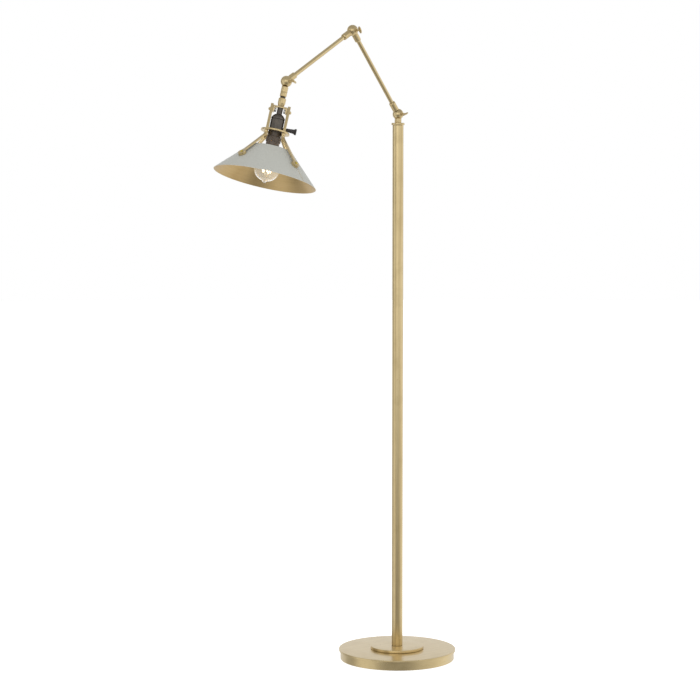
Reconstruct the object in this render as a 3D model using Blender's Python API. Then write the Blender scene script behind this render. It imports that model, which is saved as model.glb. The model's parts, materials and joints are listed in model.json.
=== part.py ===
"""Pharmacy floor lamp: a weighted round base, a straight pole, two jointed arms and a cone
shade hung below its socket on a bracket with two forked legs.

Sizes are in millimetres and turned into metres as each mesh is made. The lamp stands on
Z = 0 with its pole on the Z axis, and its arms reach towards -X. Every joint has an empty
on its axis, and what moves with the joint is parented to that empty. Along an arm, and
along the stem that carries the shade, the empty's own +Z runs away from the joint.
"""

from math import acos, asin, cos, pi, radians, sin, sqrt, tan, tau

import bmesh
import bpy
from mathutils import Matrix, Vector

MM = 0.001
GAP = 0.3  # left between two pieces that touch
SLIVER = 1.0  # how far a cutter runs past what it cuts
FINE = 44  # sides of a large round piece
ROUND = 20  # sides of a small round piece
COARSE = 12  # sides of a screw, a hole or a wire

# Base, from the floor up
PAD_RADIUS = 129.0
PAD_THICK = 2.0
COVER_RADIUS = 133.0
COVER_WALL = 1.8
COVER_TOP_THICK = 3.5
COVER_HEIGHT = 24.5
COVER_FOOT = 0.8
LIP_RADIUS = 136.5
LIP_THICK = 5.4
LIP_ROUND = 1.2
NUT_WELL_RADIUS = 22.0
NUT_WELL_DEPTH = 7.0
CORD_CHANNEL_WIDTH = 11.0
CORD_CHANNEL_HEIGHT = 11.0
BUSHING_HEIGHT = 8.2
BUSHING_BORE = 3.6
BUSHING_RADIUS = 5.0
BUSHING_FLANGE_RADIUS = 7.3
BUSHING_FLANGE_THICK = 2.0
BUSHING_LENGTH = 6.0
BUSHING_EASE = 0.6
STEP_RADIUS = 62.0
STEP_THICK = 6.5
STEP_ROUND = 0.8

# Threaded lamp pipe that ties the pole to the base, and its hardware
PIPE_RADIUS = 4.9
PIPE_BORE = 3.4
PIPE_START = 3.2
PIPE_REACH = 14.0
WASHER_RADIUS = 16.0
WASHER_THICK = 1.4
BASE_NUT_WIDTH = 16.0
BASE_NUT_THICK = 4.0

# Pole
POLE_RADIUS = 12.7
POLE_WALL = 1.2
POLE_JOINT_HEIGHT = 1270.0
PLUG_LENGTH = 18.0
POLE_COLLAR_RADIUS = 15.3
POLE_COLLAR_THICK = 5.3
POLE_COLLAR_ROUND = 2.0

# Ball joints: two half balls face to face, drawn together by a thumbscrew
BALL_RADIUS = 12.6
PIN_RADIUS = 2.5
PIN_DEPTH = 8.5
JOINT_GAP = 1.3
STEM_JOINT_GAP = 2.6
COLLAR_RADIUS = 7.3
NECK_RADIUS = 7.9
NECK_LENGTH = 19.5
SPINDLE_RADIUS = 5.0
SPINDLE_BORE = 2.5
SPINDLE_BORE_END = 16.5
SPINDLE_NUT_WIDTH = 16.0
SPINDLE_NUT_THICK = 5.0
THUMB_SHOULDER_RADIUS = 4.3
THUMB_SHOULDER_THICK = 2.0
SMALL_CHAMFER = 0.5  # on shoulders and collars
THUMB_WING_CENTRE = 25.0
THUMB_WING_LENGTH = 16.7
THUMB_WING_HEIGHT = 8.0
THUMB_WING_THICK = 2.4
THUMB_WING_CHAMFER = 0.6

# Arms
ROD_RADIUS = 4.75
ROD_BORE = 3.5
ROD_SEAT = 10.0
LOWER_ARM_LENGTH = 232.0
UPPER_ARM_LENGTH = 228.0
ARM_COLLAR_START_END = 33.0
ARM_COLLAR_FINISH_END = 29.0
COLLAR_CHAMFER = 2.0
COLLAR_MOUTH_RADIUS = 6.0

# Rest pose, in degrees: each angle is measured from the member before
LOWER_ARM_LEAN = 37.0
ELBOW_BEND = 84.5
SHADE_BEND = 42.3
SHADE_TURN = -5.5
THUMB_TURNS = {"pole": 12.0, "elbow": 8.0, "shade": 17.0}

# Stem below the shade joint, by distance from the joint
STEM_RADIUS = 7.5
KNUCKLE_END = 25.2
STUD_SEAT = 17.2
BARREL_END = 35.0
BARREL_CHAMFER = 1.0
STUD_NECK_RADIUS = 5.9
STUD_RADIUS = 3.0
STUD_BORE = 1.8
STUD_HEAD_RADIUS = 4.7
STUD_HEAD_THICK = 2.5
CUP_START = 38.4
CUP_RADIUS = 8.4
CUP_CHAMFER = 1.5
CUP_TAPER_START = 50.0
CUP_SHELF = 5.5
PLATE_START = 58.0
PLATE_THICK = 3.2

# Shade bracket: each leg is an upright with a shoulder, from which two struts run out
LEG_ANGLES = (45, 225)
LEG_CLEARANCE = 0.9  # between a leg and the lamp holder
LEG_THICK = 6.2
LEG_WIDTH = 16.0
LEG_START = 55.2
SHOULDER_MARGIN = 3.0  # how far the shoulder runs past the middle of a strut
SHOULDER_THICK = 5.6
KEY_CLEARANCE = 0.5  # round the switch shaft, in a leg
STRUT_ANGLES = (-45, 45)
STRUT_OVERLAP = 1.4  # how far into the shoulder a strut starts
STRUT_BEND_RADIUS = 12.0
BAR_WIDTH = 8.2
BAR_THICK = 3.2
STRAP_WIDTH = 15.0
TAB_THICK = 3.0
TAB_DROP = 14.5
PLATE_SCREW_DROP = 9.0
SCREW_RADIUS = 2.0
SCREW_HEAD_RADIUS = 3.9
SCREW_HEAD_HEIGHT = 3.4
SMALL_NUT_WIDTH = 7.5
SMALL_NUT_THICK = 3.4
PLATE_NUT_WIDTH = 8.0
PLATE_NUT_THICK = 3.9
NUT_PROUD = 0.5
RING_CENTRE = 115.3
RING_THICK = 3.6
RING_RADIUS = 32.0
RING_BORE = 20.0
EYE_RADIUS = 9.0
EYE_SLANT = 114.5
SPACER_THICK = 3.2
SHADE_SCREW_HEAD_RADIUS = 3.2
SHADE_SCREW_HEAD_HEIGHT = 2.0

# Shade
SHADE_RIM_RADIUS = 114.8
SHADE_RIM = 223.0
SHADE_TOP = 153.5
SHADE_HALF_ANGLE = 44.7
SHADE_WALL = 1.2

# Socket
NECK_WALL = 1.1  # outside the nipple, in the cap and in the foot of the cup
SOCKET_NECK_END = 75.6
CAP_SLOPE_START_RADIUS = 9.2
CAP_SLOPE_START = 76.8
CAP_SLOPE_END_RADIUS = 12.3
CAP_SLOPE_END = 79.8
NECK_BORE_END = 78.6
DOME_INSET = 0.5
DOME_START = 83.0
DOME_END = 84.0
DOME_BORE_RADIUS = 11.1
DOME_BORE_END = 80.6
BEAD_PROUD = 0.1
CAP_END = 87.0
SOCKET_WALL = 0.8
SOCKET_RADIUS = 14.9
BAND_START = 127.0
BAND_END = 139.0
BAND_PROUD = 1.6
SOCKET_END = 147.4
SCREW_SHELL_WALL = 0.5
SCREW_SHELL_END = 146.4
CORE_START = 89.0
CORE_END = 118.0
CONTACT_RADIUS = 4.0
CONTACT_THICK = 1.2
NIPPLE_RADIUS = 4.8
NIPPLE_BORE = 3.3
NIPPLE_LENGTH = 30.0
KEY_CENTRE = 106.0
KEY_SHAFT_RADIUS = 3.0
KEY_SHAFT_START = 6.0
KEY_STEP_CLEARANCE = 0.8  # from the leg to where the shaft grows
KEY_STEM_RADIUS = 4.0
KEY_STEM_LENGTH = 4.9
KEY_HORN_RADIUS = 4.8
KEY_HORN_LENGTH = 10.8
KEY_FLARE_RADIUS = 6.9
KEY_FLARE_RISE = 2.6
KEY_FLARE_LENGTH = 4.4
KEY_EASE = 1.0
KEY_HOLLOW = 0.6
KEY_ANGLE = 225.0

# Bulb
BULB_RADIUS = 29.7
BULB_CENTRE = 197.0
BULB_NECK_RADIUS = 12.9
BULB_NECK_START = 148.2
BULB_WALL = 0.9
BULB_FLARE = 164.0
BULB_FLARE_RADIUS = 14.4
BULB_SPREAD = 52.0  # where the round part takes over from the neck, in degrees
BULB_FIT = 0.7  # between the bulb's base and the screw shell
BULB_THREAD_DEPTH = 0.7
BULB_THREADS = 5
BULB_THREAD_RUNOUT = 4.0
BULB_CONTACT_RADIUS = 4.6
BULB_CONTACT_HEIGHT = 4.0
TIP_RADIUS = 6.5
TIP_HEIGHT = 5.5
TIP_WAIST = 3.4
TIP_END_RADIUS = 0.6
MOUNT_RADIUS = 6.0
MOUNT_FLARE = 8.0
MOUNT_WAIST = 2.4
MOUNT_END = 176.0
FILAMENT_RADIUS = 0.45
FILAMENT_RING = 9.5
FILAMENT_LOW = 178.0
FILAMENT_HIGH = 207.0
FILAMENT_LOOPS = 5

# Worked out from the sizes above
STEP_BOTTOM = COVER_HEIGHT + GAP
POLE_BOTTOM = STEP_BOTTOM + STEP_THICK + GAP
POLE_COLLAR_TOP = POLE_JOINT_HEIGHT - NECK_LENGTH - GAP
POLE_TOP = POLE_COLLAR_TOP - POLE_COLLAR_THICK - GAP
CONE = radians(SHADE_HALF_ANGLE)
CONE_APEX = SHADE_RIM - SHADE_RIM_RADIUS / tan(CONE)
PLATE_END = PLATE_START + PLATE_THICK
PLATE_SCREW = PLATE_START + PLATE_SCREW_DROP
NIPPLE_HOLE = NIPPLE_RADIUS + GAP
NECK_OUTSIDE = NIPPLE_HOLE + NECK_WALL
BEAD_RADIUS = SOCKET_RADIUS + BEAD_PROUD
DOME_RADIUS = BEAD_RADIUS - DOME_INSET
BAND_RADIUS = SOCKET_RADIUS + BAND_PROUD
BULB_BASE_RADIUS = SOCKET_RADIUS - SOCKET_WALL - GAP - SCREW_SHELL_WALL - BULB_FIT
LEG_RADIUS = SOCKET_RADIUS + LEG_CLEARANCE + LEG_THICK / 2
STRUT_RADIUS = LEG_RADIUS / cos(radians(STRUT_ANGLES[1]))
SHOULDER_REACH = LEG_RADIUS + SHOULDER_MARGIN
LEG_INSIDE = LEG_RADIUS - LEG_THICK / 2
LEG_OUTSIDE = LEG_RADIUS + LEG_THICK / 2
LEG_SHOULDER = RING_CENTRE + RING_THICK / 2 + GAP
LEG_KEY_HOLE = KEY_SHAFT_RADIUS + KEY_CLEARANCE
KEY_SHAFT_END = LEG_OUTSIDE + KEY_STEP_CLEARANCE
KEY_WAIST = KEY_SHAFT_END + KEY_STEM_LENGTH
KEY_HORN = KEY_WAIST + KEY_HORN_LENGTH
KEY_FLARE_START = KEY_HORN + KEY_FLARE_RISE
KEY_END = KEY_FLARE_START + KEY_FLARE_LENGTH
TAB_OUTSIDE = LEG_INSIDE - GAP
TAB_INSIDE = TAB_OUTSIDE - TAB_THICK
STRUT_LIFT = GAP + SPACER_THICK + BAR_THICK / 2
SCREW_HOLE = SCREW_RADIUS + GAP


def material(name, colour, roughness, metallic, alpha=1.0):
    """A Principled BSDF finish."""
    made = bpy.data.materials.new(name)
    made.use_nodes = True
    shader = made.node_tree.nodes["Principled BSDF"]
    shader.inputs["Base Color"].default_value = (*colour, 1.0)
    shader.inputs["Roughness"].default_value = roughness
    shader.inputs["Metallic"].default_value = metallic
    shader.inputs["Alpha"].default_value = alpha
    made.diffuse_color = (*colour, alpha)
    return made


def mesh_of(name, shape, finish):
    """Turns a bmesh in millimetres into a mesh in metres."""
    bmesh.ops.scale(shape, vec=(MM, MM, MM), verts=shape.verts)
    mesh = bpy.data.meshes.new(name)
    shape.to_mesh(mesh)
    shape.free()
    mesh.materials.append(finish)
    mesh.shade_smooth()
    mesh.set_sharp_from_angle(angle=radians(35))
    return mesh


def add(name, shape, finish, parent=None, at=(0, 0, 0), turn=(0, 0, 0)):
    """Makes a named object from a bmesh, or from a mesh that another object has."""
    mesh = shape if isinstance(shape, bpy.types.Mesh) else mesh_of(name, shape, finish)
    made = bpy.data.objects.new(name, mesh)
    bpy.context.collection.objects.link(made)
    made.parent = parent
    made.location = Vector(at) * MM
    made.rotation_euler = turn
    return made


def joint_empty(name, parent=None, at=(0, 0, 0), turn=(0, 0, 0)):
    """An empty on a joint's axis."""
    made = bpy.data.objects.new(name, None)
    made.empty_display_size = 20 * MM
    bpy.context.collection.objects.link(made)
    made.parent = parent
    made.location = Vector(at) * MM
    made.rotation_euler = turn
    return made


def clean(shape):
    """Merges doubled points and turns the faces outwards."""
    bmesh.ops.remove_doubles(shape, verts=shape.verts, dist=1e-4)
    bmesh.ops.recalc_face_normals(shape, faces=shape.faces)
    return shape


def turned(profile, sides=ROUND, hollow=False):
    """Turns a profile of (radius, height) points about Z. A hollow profile is a closed loop
    away from the axis, and a solid one starts and ends on the axis."""
    shape = bmesh.new()
    points = [shape.verts.new((radius, 0, height)) for radius, height in profile]
    edges = [shape.edges.new(pair) for pair in zip(points, points[1:])]
    if hollow:
        edges.append(shape.edges.new((points[-1], points[0])))
    bmesh.ops.spin(
        shape,
        geom=points + edges,
        cent=(0, 0, 0),
        axis=(0, 0, 1),
        angle=tau,
        steps=sides,
        use_merge=True,
    )
    return clean(shape)


def disc(radius, low, high, sides=ROUND):
    """A solid cylinder on Z."""
    return turned([(0, low), (radius, low), (radius, high), (0, high)], sides)


def tube(outer, inner, low, high, sides=ROUND):
    """A tube or a washer on Z."""
    return turned([(outer, low), (outer, high), (inner, high), (inner, low)], sides, hollow=True)


def block(low, high):
    """A box between two corners."""
    shape = bmesh.new()
    bmesh.ops.create_cube(shape, size=1)
    low, high = Vector(low), Vector(high)
    bmesh.ops.scale(shape, vec=high - low, verts=shape.verts)
    bmesh.ops.translate(shape, vec=(low + high) / 2, verts=shape.verts)
    return shape


def hexagon_nut(width, bore, low, high):
    """A hexagon nut on Z, width across its flats, with a round bore."""
    nut = disc(width / 2 / cos(pi / 6), low, high, sides=6)
    return cut(nut, disc(bore, low - SLIVER, high + SLIVER, COARSE))


def arc(centre, radius, start, end, steps):
    """Points on an arc in a profile's plane, from one angle to another, in degrees."""
    angles = [radians(start + (end - start) * step / steps) for step in range(steps + 1)]
    return [(centre[0] + radius * cos(a), centre[1] + radius * sin(a)) for a in angles]


def combined(first, second, operation):
    """Boolean of two bmeshes, which are both used up."""
    pair = []
    for shape in (first, second):
        mesh = bpy.data.meshes.new("boolean")
        shape.to_mesh(mesh)
        shape.free()
        pair.append(bpy.data.objects.new("boolean", mesh))
        bpy.context.collection.objects.link(pair[-1])
    modifier = pair[0].modifiers.new("Boolean", "BOOLEAN")
    modifier.operation = operation
    modifier.object = pair[1]
    result = bmesh.new()
    result.from_object(pair[0], bpy.context.evaluated_depsgraph_get())
    for made in pair:
        mesh = made.data
        bpy.data.objects.remove(made)
        bpy.data.meshes.remove(mesh)
    return result


def cut(shape, *tools):
    """Takes each tool's volume away from a shape."""
    for tool in tools:
        shape = combined(shape, tool, "DIFFERENCE")
    return shape


def joined(shape, *others):
    """Adds each other shape's volume to a shape."""
    for other in others:
        shape = combined(shape, other, "UNION")
    return shape


def placed(shape, matrix):
    """Moves and turns a shape."""
    bmesh.ops.transform(shape, matrix=matrix, verts=shape.verts)
    return shape


def turn_matrix(degrees, axis):
    """A turn about one of the axes."""
    return Matrix.Rotation(radians(degrees), 4, axis)


def move_matrix(x, y, z):
    """A move."""
    return Matrix.Translation((x, y, z))


def half_ball(neck, side, gap=JOINT_GAP):
    """One half of a ball joint with its neck along +Z. The neck's profile runs from the ball
    to the far end and back to the axis. The half that stays is on the given side of Y, and
    the other side is hollowed to clear the other half."""
    meets = asin(neck[0][0] / BALL_RADIUS)
    surface = arc((0, 0), BALL_RADIUS, -90, 90 - meets * 180 / pi, 9)
    surface[0] = (0, -BALL_RADIUS)
    ball = turned(surface + neck)
    hollow = arc((0, 0), BALL_RADIUS + gap, 0, 90, 6)
    hollow[-1] = (0, BALL_RADIUS + gap)
    hollow = turned([(0, 0)] + hollow)
    hollow = placed(hollow, turn_matrix(90 * side, "X"))
    hollow = placed(hollow, move_matrix(0, side * GAP / 2, 0))
    reach = BALL_RADIUS + SLIVER if side < 0 else PIN_DEPTH + GAP
    pin_hole = disc(PIN_RADIUS + GAP, 0, reach, COARSE)
    pin_hole = placed(pin_hole, turn_matrix(-90 * side, "X"))
    pin_hole = placed(pin_hole, move_matrix(0, -side * GAP, 0))
    return cut(ball, hollow, pin_hole)


def rod_collar(end):
    """The neck profile of a half ball whose collar holds an arm's rod."""
    seat = end - ROD_SEAT - GAP
    return [
        (COLLAR_RADIUS, sqrt(BALL_RADIUS**2 - COLLAR_RADIUS**2)),
        (COLLAR_RADIUS, end - COLLAR_CHAMFER),
        (COLLAR_MOUTH_RADIUS, end),
        (ROD_RADIUS + GAP, end),
        (ROD_RADIUS + GAP, seat),
        (0, seat),
    ]


def thumbscrew():
    """A thumbscrew along -Y: its shank crosses the joint, and its oval wing lies on X."""
    shoulder = BALL_RADIUS + GAP
    shoulder_end = shoulder + THUMB_SHOULDER_THICK
    screw = turned(
        [
            (0, -PIN_DEPTH),
            (PIN_RADIUS, -PIN_DEPTH),
            (PIN_RADIUS, shoulder),
            (THUMB_SHOULDER_RADIUS, shoulder),
            (THUMB_SHOULDER_RADIUS, shoulder_end - SMALL_CHAMFER),
            (THUMB_SHOULDER_RADIUS - SMALL_CHAMFER, shoulder_end),
            (PIN_RADIUS, shoulder_end),
            (PIN_RADIUS, THUMB_WING_CENTRE),
            (0, THUMB_WING_CENTRE),
        ],
        COARSE,
    )
    half, radius = THUMB_WING_THICK / 2, THUMB_WING_LENGTH / 2
    inner = radius - THUMB_WING_CHAMFER
    upper = half - THUMB_WING_CHAMFER
    edge = [(inner, -half), (radius, -upper), (radius, upper), (inner, half)]
    wing = turned([(0, -half)] + edge + [(0, half)])
    wing = placed(wing, Matrix.Diagonal((1, THUMB_WING_HEIGHT / THUMB_WING_LENGTH, 1, 1)))
    wing = placed(wing, turn_matrix(90, "X"))
    wing = placed(wing, move_matrix(0, 0, THUMB_WING_CENTRE))
    return placed(joined(screw, wing), turn_matrix(90, "X"))


def pan_screw(head_radius, head_height, grip):
    """A round-head screw on Z: its head stands above Z = 0 and its shank reaches down."""
    dome_radius = (head_radius**2 + head_height**2) / (2 * head_height)
    spread = acos(1 - head_height / dome_radius) * 180 / pi
    dome = arc((0, head_height - dome_radius), dome_radius, 90 - spread, 90, 4)
    dome[-1] = (0, head_height)
    return turned([(0, -grip), (SCREW_RADIUS, -grip), (SCREW_RADIUS, 0)] + dome, COARSE)


def make_base(metal, iron, felt, steel, rubber):
    """The weighted base, with the hardware that ties the pole to it."""
    pipe_hole = PIPE_RADIUS + GAP
    add("base_pad", disc(PAD_RADIUS, 0, PAD_THICK, FINE), felt)

    lip_bottom = COVER_HEIGHT - LIP_THICK
    cover = turned(
        [
            (COVER_RADIUS, COVER_FOOT),
            (COVER_RADIUS, lip_bottom),
            (LIP_RADIUS - LIP_ROUND, lip_bottom),
            (LIP_RADIUS, lip_bottom + LIP_ROUND),
            (LIP_RADIUS, COVER_HEIGHT - LIP_ROUND),
            (LIP_RADIUS - LIP_ROUND, COVER_HEIGHT),
            (pipe_hole, COVER_HEIGHT),
            (pipe_hole, COVER_HEIGHT - COVER_TOP_THICK),
            (COVER_RADIUS - COVER_WALL, COVER_HEIGHT - COVER_TOP_THICK),
            (COVER_RADIUS - COVER_WALL, COVER_FOOT),
        ],
        FINE,
        hollow=True,
    )
    along_x = turn_matrix(90, "Y")
    cord_way = placed(disc(BUSHING_RADIUS + GAP, 0, LIP_RADIUS, COARSE), along_x)
    cord_way = placed(cord_way, move_matrix(COVER_RADIUS / 2, 0, BUSHING_HEIGHT))
    add("base_cover", cut(cover, cord_way), metal)

    weight_radius = COVER_RADIUS - COVER_WALL - GAP
    weight_bottom = PAD_THICK + GAP
    well_top = weight_bottom + NUT_WELL_DEPTH
    weight = turned(
        [
            (weight_radius, weight_bottom),
            (weight_radius, COVER_HEIGHT - COVER_TOP_THICK - GAP),
            (pipe_hole, COVER_HEIGHT - COVER_TOP_THICK - GAP),
            (pipe_hole, well_top),
            (NUT_WELL_RADIUS, well_top),
            (NUT_WELL_RADIUS, weight_bottom),
        ],
        FINE,
        hollow=True,
    )
    channel = block(
        (NUT_WELL_RADIUS - SLIVER, -CORD_CHANNEL_WIDTH / 2, 0),
        (COVER_RADIUS, CORD_CHANNEL_WIDTH / 2, weight_bottom + CORD_CHANNEL_HEIGHT),
    )
    add("base_weight", cut(weight, channel), iron)

    bushing = turned(
        [
            (BUSHING_BORE, GAP - BUSHING_LENGTH),
            (BUSHING_RADIUS, GAP - BUSHING_LENGTH),
            (BUSHING_RADIUS, GAP),
            (BUSHING_FLANGE_RADIUS, GAP),
            (BUSHING_FLANGE_RADIUS - BUSHING_EASE, GAP + BUSHING_FLANGE_THICK),
            (BUSHING_BORE + BUSHING_EASE, GAP + BUSHING_FLANGE_THICK),
            (BUSHING_BORE, GAP + BUSHING_FLANGE_THICK - BUSHING_EASE),
        ],
        COARSE,
        hollow=True,
    )
    add("cord_bushing", bushing, rubber, at=(COVER_RADIUS, 0, BUSHING_HEIGHT), turn=(0, pi / 2, 0))

    step_top = STEP_BOTTOM + STEP_THICK
    step = turned(
        [
            (STEP_RADIUS, STEP_BOTTOM),
            (STEP_RADIUS, step_top - STEP_ROUND),
            (STEP_RADIUS - STEP_ROUND, step_top),
            (pipe_hole, step_top),
            (pipe_hole, STEP_BOTTOM),
        ],
        FINE,
        hollow=True,
    )
    add("base_step", step, metal)

    pipe_end = POLE_BOTTOM + PIPE_REACH
    add("base_pipe", tube(PIPE_RADIUS, PIPE_BORE, PIPE_START, pipe_end, COARSE), steel)
    washer_top = well_top - GAP
    washer_bottom = washer_top - WASHER_THICK
    add("base_washer", tube(WASHER_RADIUS, pipe_hole, washer_bottom, washer_top), steel)
    nut_top = washer_bottom - GAP
    nut = hexagon_nut(BASE_NUT_WIDTH, pipe_hole, nut_top - BASE_NUT_THICK, nut_top)
    add("base_nut", nut, steel)


def make_pole(metal, steel):
    """The pole, its end plugs and the collar on top."""
    bore = POLE_RADIUS - POLE_WALL
    plug_radius = bore - GAP
    spindle_hole = SPINDLE_RADIUS + GAP
    foot_plug = tube(plug_radius, PIPE_RADIUS + GAP, POLE_BOTTOM, POLE_BOTTOM + PLUG_LENGTH)
    add("pole_foot_plug", foot_plug, steel)
    add("pole_tube", tube(POLE_RADIUS, bore, POLE_BOTTOM, POLE_TOP, FINE), metal)
    add("pole_top_plug", tube(plug_radius, spindle_hole, POLE_TOP - PLUG_LENGTH, POLE_TOP), steel)

    collar_bottom = POLE_COLLAR_TOP - POLE_COLLAR_THICK
    middle = POLE_COLLAR_RADIUS - POLE_COLLAR_ROUND
    lower_edge = arc((middle, collar_bottom + POLE_COLLAR_ROUND), POLE_COLLAR_ROUND, -90, 0, 3)
    upper_edge = arc((middle, POLE_COLLAR_TOP - POLE_COLLAR_ROUND), POLE_COLLAR_ROUND, 0, 90, 3)
    inner_edge = [(spindle_hole, POLE_COLLAR_TOP), (spindle_hole, collar_bottom)]
    add("pole_collar", turned(lower_edge + upper_edge + inner_edge, hollow=True), metal)


def make_pole_head(metal, steel):
    """The swivelling neck on top of the pole, which carries the first half ball."""
    swivel = joint_empty("pole_swivel", at=(0, 0, POLE_JOINT_HEIGHT))
    plug_bottom = POLE_JOINT_HEIGHT - POLE_TOP + PLUG_LENGTH
    nut_start = plug_bottom + GAP
    nut_end = nut_start + SPINDLE_NUT_THICK
    neck = [
        (NECK_RADIUS, sqrt(BALL_RADIUS**2 - NECK_RADIUS**2)),
        (NECK_RADIUS, NECK_LENGTH),
        (SPINDLE_RADIUS, NECK_LENGTH),
        (SPINDLE_RADIUS, nut_end + SLIVER),
        (SPINDLE_BORE, nut_end + SLIVER),
        (SPINDLE_BORE, SPINDLE_BORE_END),
        (0, SPINDLE_BORE_END),
    ]
    knuckle = placed(half_ball(neck, side=-1), turn_matrix(180, "Y"))
    add("pole_knuckle", knuckle, metal, swivel)
    nut = hexagon_nut(SPINDLE_NUT_WIDTH, SPINDLE_RADIUS + GAP, -nut_end, -nut_start)
    add("swivel_nut", nut, steel, swivel)
    return swivel


def make_arm(name, length, empty, metal):
    """An arm: a half ball that takes the joint before it, a rod, and a half ball for the next."""
    first = half_ball(rod_collar(ARM_COLLAR_START_END), side=1)
    add(name + "_start_knuckle", first, metal, empty)
    last = placed(half_ball(rod_collar(ARM_COLLAR_FINISH_END), side=-1), turn_matrix(180, "Y"))
    add(name + "_end_knuckle", last, metal, empty, at=(0, 0, length))
    rod_low = ARM_COLLAR_START_END - ROD_SEAT
    rod_high = length - ARM_COLLAR_FINISH_END + ROD_SEAT
    add(name + "_rod", tube(ROD_RADIUS, ROD_BORE, rod_low, rod_high), metal, empty)


def add_thumbscrew(joint, mesh, member):
    """Puts a thumbscrew in a joint, threaded into the member that swings there."""
    turning = joint_empty(joint + "_thumb_turn", member, turn=(0, radians(THUMB_TURNS[joint]), 0))
    add(joint + "_thumbscrew", mesh, None, turning)


def make_stem(parent, metal, dark, thumb):
    """The stem under the shade joint: a half ball, a barrel, and the stud that the shade's
    own half of the stem turns on."""
    joint = (0, 0, UPPER_ARM_LENGTH)
    empty = joint_empty("shade_tilt", parent, joint, (0, -radians(SHADE_BEND), 0))
    hole = STUD_RADIUS + GAP
    neck = [
        (STEM_RADIUS, sqrt(BALL_RADIUS**2 - STEM_RADIUS**2)),
        (STEM_RADIUS, KNUCKLE_END - SMALL_CHAMFER),
        (STEM_RADIUS - SMALL_CHAMFER, KNUCKLE_END),
        (hole, KNUCKLE_END),
        (hole, STUD_SEAT),
        (0, STUD_SEAT),
    ]
    add("stem_knuckle", half_ball(neck, 1, STEM_JOINT_GAP), metal, empty)

    barrel_start = KNUCKLE_END + GAP
    barrel = turned(
        [
            (STEM_RADIUS - SMALL_CHAMFER, barrel_start),
            (STEM_RADIUS, barrel_start + SMALL_CHAMFER),
            (STEM_RADIUS, BARREL_END - BARREL_CHAMFER),
            (STEM_RADIUS - BARREL_CHAMFER, BARREL_END),
            (hole, BARREL_END),
            (hole, barrel_start),
        ],
        hollow=True,
    )
    add("stem_barrel", barrel, metal, empty)

    head_start = CUP_START + CUP_SHELF + GAP
    stud = turned(
        [
            (STUD_RADIUS, STUD_SEAT + GAP),
            (STUD_RADIUS, BARREL_END + GAP),
            (STUD_NECK_RADIUS, BARREL_END + GAP),
            (STUD_NECK_RADIUS, CUP_START - GAP),
            (STUD_RADIUS, CUP_START - GAP),
            (STUD_RADIUS, head_start),
            (STUD_HEAD_RADIUS, head_start),
            (STUD_HEAD_RADIUS, head_start + STUD_HEAD_THICK),
            (STUD_BORE, head_start + STUD_HEAD_THICK),
            (STUD_BORE, STUD_SEAT + GAP),
        ],
        COARSE,
        hollow=True,
    )
    add("swivel_stud", stud, dark, empty)
    add_thumbscrew("shade", thumb, empty)
    return empty


def bracket_leg():
    """A forked leg. Its upright hangs from the plate at its own +X and passes down through the
    ring, and a strut runs out to the shade from each end of the shoulder below the ring."""
    shoulder_end = LEG_SHOULDER + SHOULDER_THICK
    half_outline = [
        (LEG_WIDTH / 2, LEG_START),
        (LEG_WIDTH / 2, LEG_SHOULDER),
        (SHOULDER_REACH, LEG_SHOULDER),
        (SHOULDER_REACH, shoulder_end),
    ]
    upright = flat_bar(half_outline + [(-y, z) for y, z in reversed(half_outline)], LEG_THICK)
    leg = placed(upright, move_matrix(LEG_RADIUS, 0, 0) @ turn_matrix(90, "Z"))
    for degrees in STRUT_ANGLES:
        leg = joined(leg, placed(bracket_strut(), turn_matrix(degrees, "Z")))
    screw_hole = disc(SCREW_HOLE, -LEG_THICK, LEG_THICK, COARSE)
    key_hole = disc(LEG_KEY_HOLE, -LEG_THICK, LEG_THICK, COARSE)
    key_hole = placed(key_hole, move_matrix(LEG_RADIUS, 0, KEY_CENTRE) @ turn_matrix(90, "Y"))
    return cut(leg, placed(screw_hole, at_plate_screw(LEG_RADIUS)), key_hole)


def bracket_strut():
    """A flat bar in the XZ plane: down out of the shoulder, then along the cone to an eye."""
    across = Vector((cos(CONE), -sin(CONE)))
    along = Vector((sin(CONE), cos(CONE)))
    apex = Vector((0, CONE_APEX))
    end = apex + along * EYE_SLANT + across * STRUT_LIFT
    corner = end - along * ((end.x - STRUT_RADIUS) / along.x)
    tangent = STRUT_BEND_RADIUS * tan(CONE / 2)
    centre = Vector((STRUT_RADIUS + STRUT_BEND_RADIUS, corner.y - tangent))
    start = LEG_SHOULDER + STRUT_OVERLAP
    bend = [180 - SHADE_HALF_ANGLE * step / 6 for step in range(7)]
    outline = [Vector((STRUT_RADIUS + side * BAR_THICK / 2, start)) for side in (1, -1)]
    for side in (-1, 1):
        radius = STRUT_BEND_RADIUS - side * BAR_THICK / 2
        edge = [centre + radius * Vector((cos(radians(a)), sin(radians(a)))) for a in bend]
        edge.append(end + across * side * BAR_THICK / 2)
        outline += edge if side < 0 else reversed(edge)
    strut = flat_bar(outline, BAR_WIDTH)
    eye = disc(EYE_RADIUS, -BAR_THICK / 2, BAR_THICK / 2)
    strut = joined(strut, placed(eye, on_cone(EYE_SLANT, STRUT_LIFT)))
    hole = disc(SCREW_HOLE, -BAR_THICK, BAR_THICK, COARSE)
    return cut(strut, placed(hole, on_cone(EYE_SLANT, STRUT_LIFT)))


def flat_bar(outline, width):
    """A bar of a width along Y, from its outline of (x, z) points."""
    bar = bmesh.new()
    face = bar.faces.new([bar.verts.new((x, -width / 2, z)) for x, z in outline])
    pushed = bmesh.ops.extrude_face_region(bar, geom=[face])["geom"]
    moved = [item for item in pushed if isinstance(item, bmesh.types.BMVert)]
    bmesh.ops.translate(bar, vec=(0, width, 0), verts=moved)
    return clean(bar)


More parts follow.
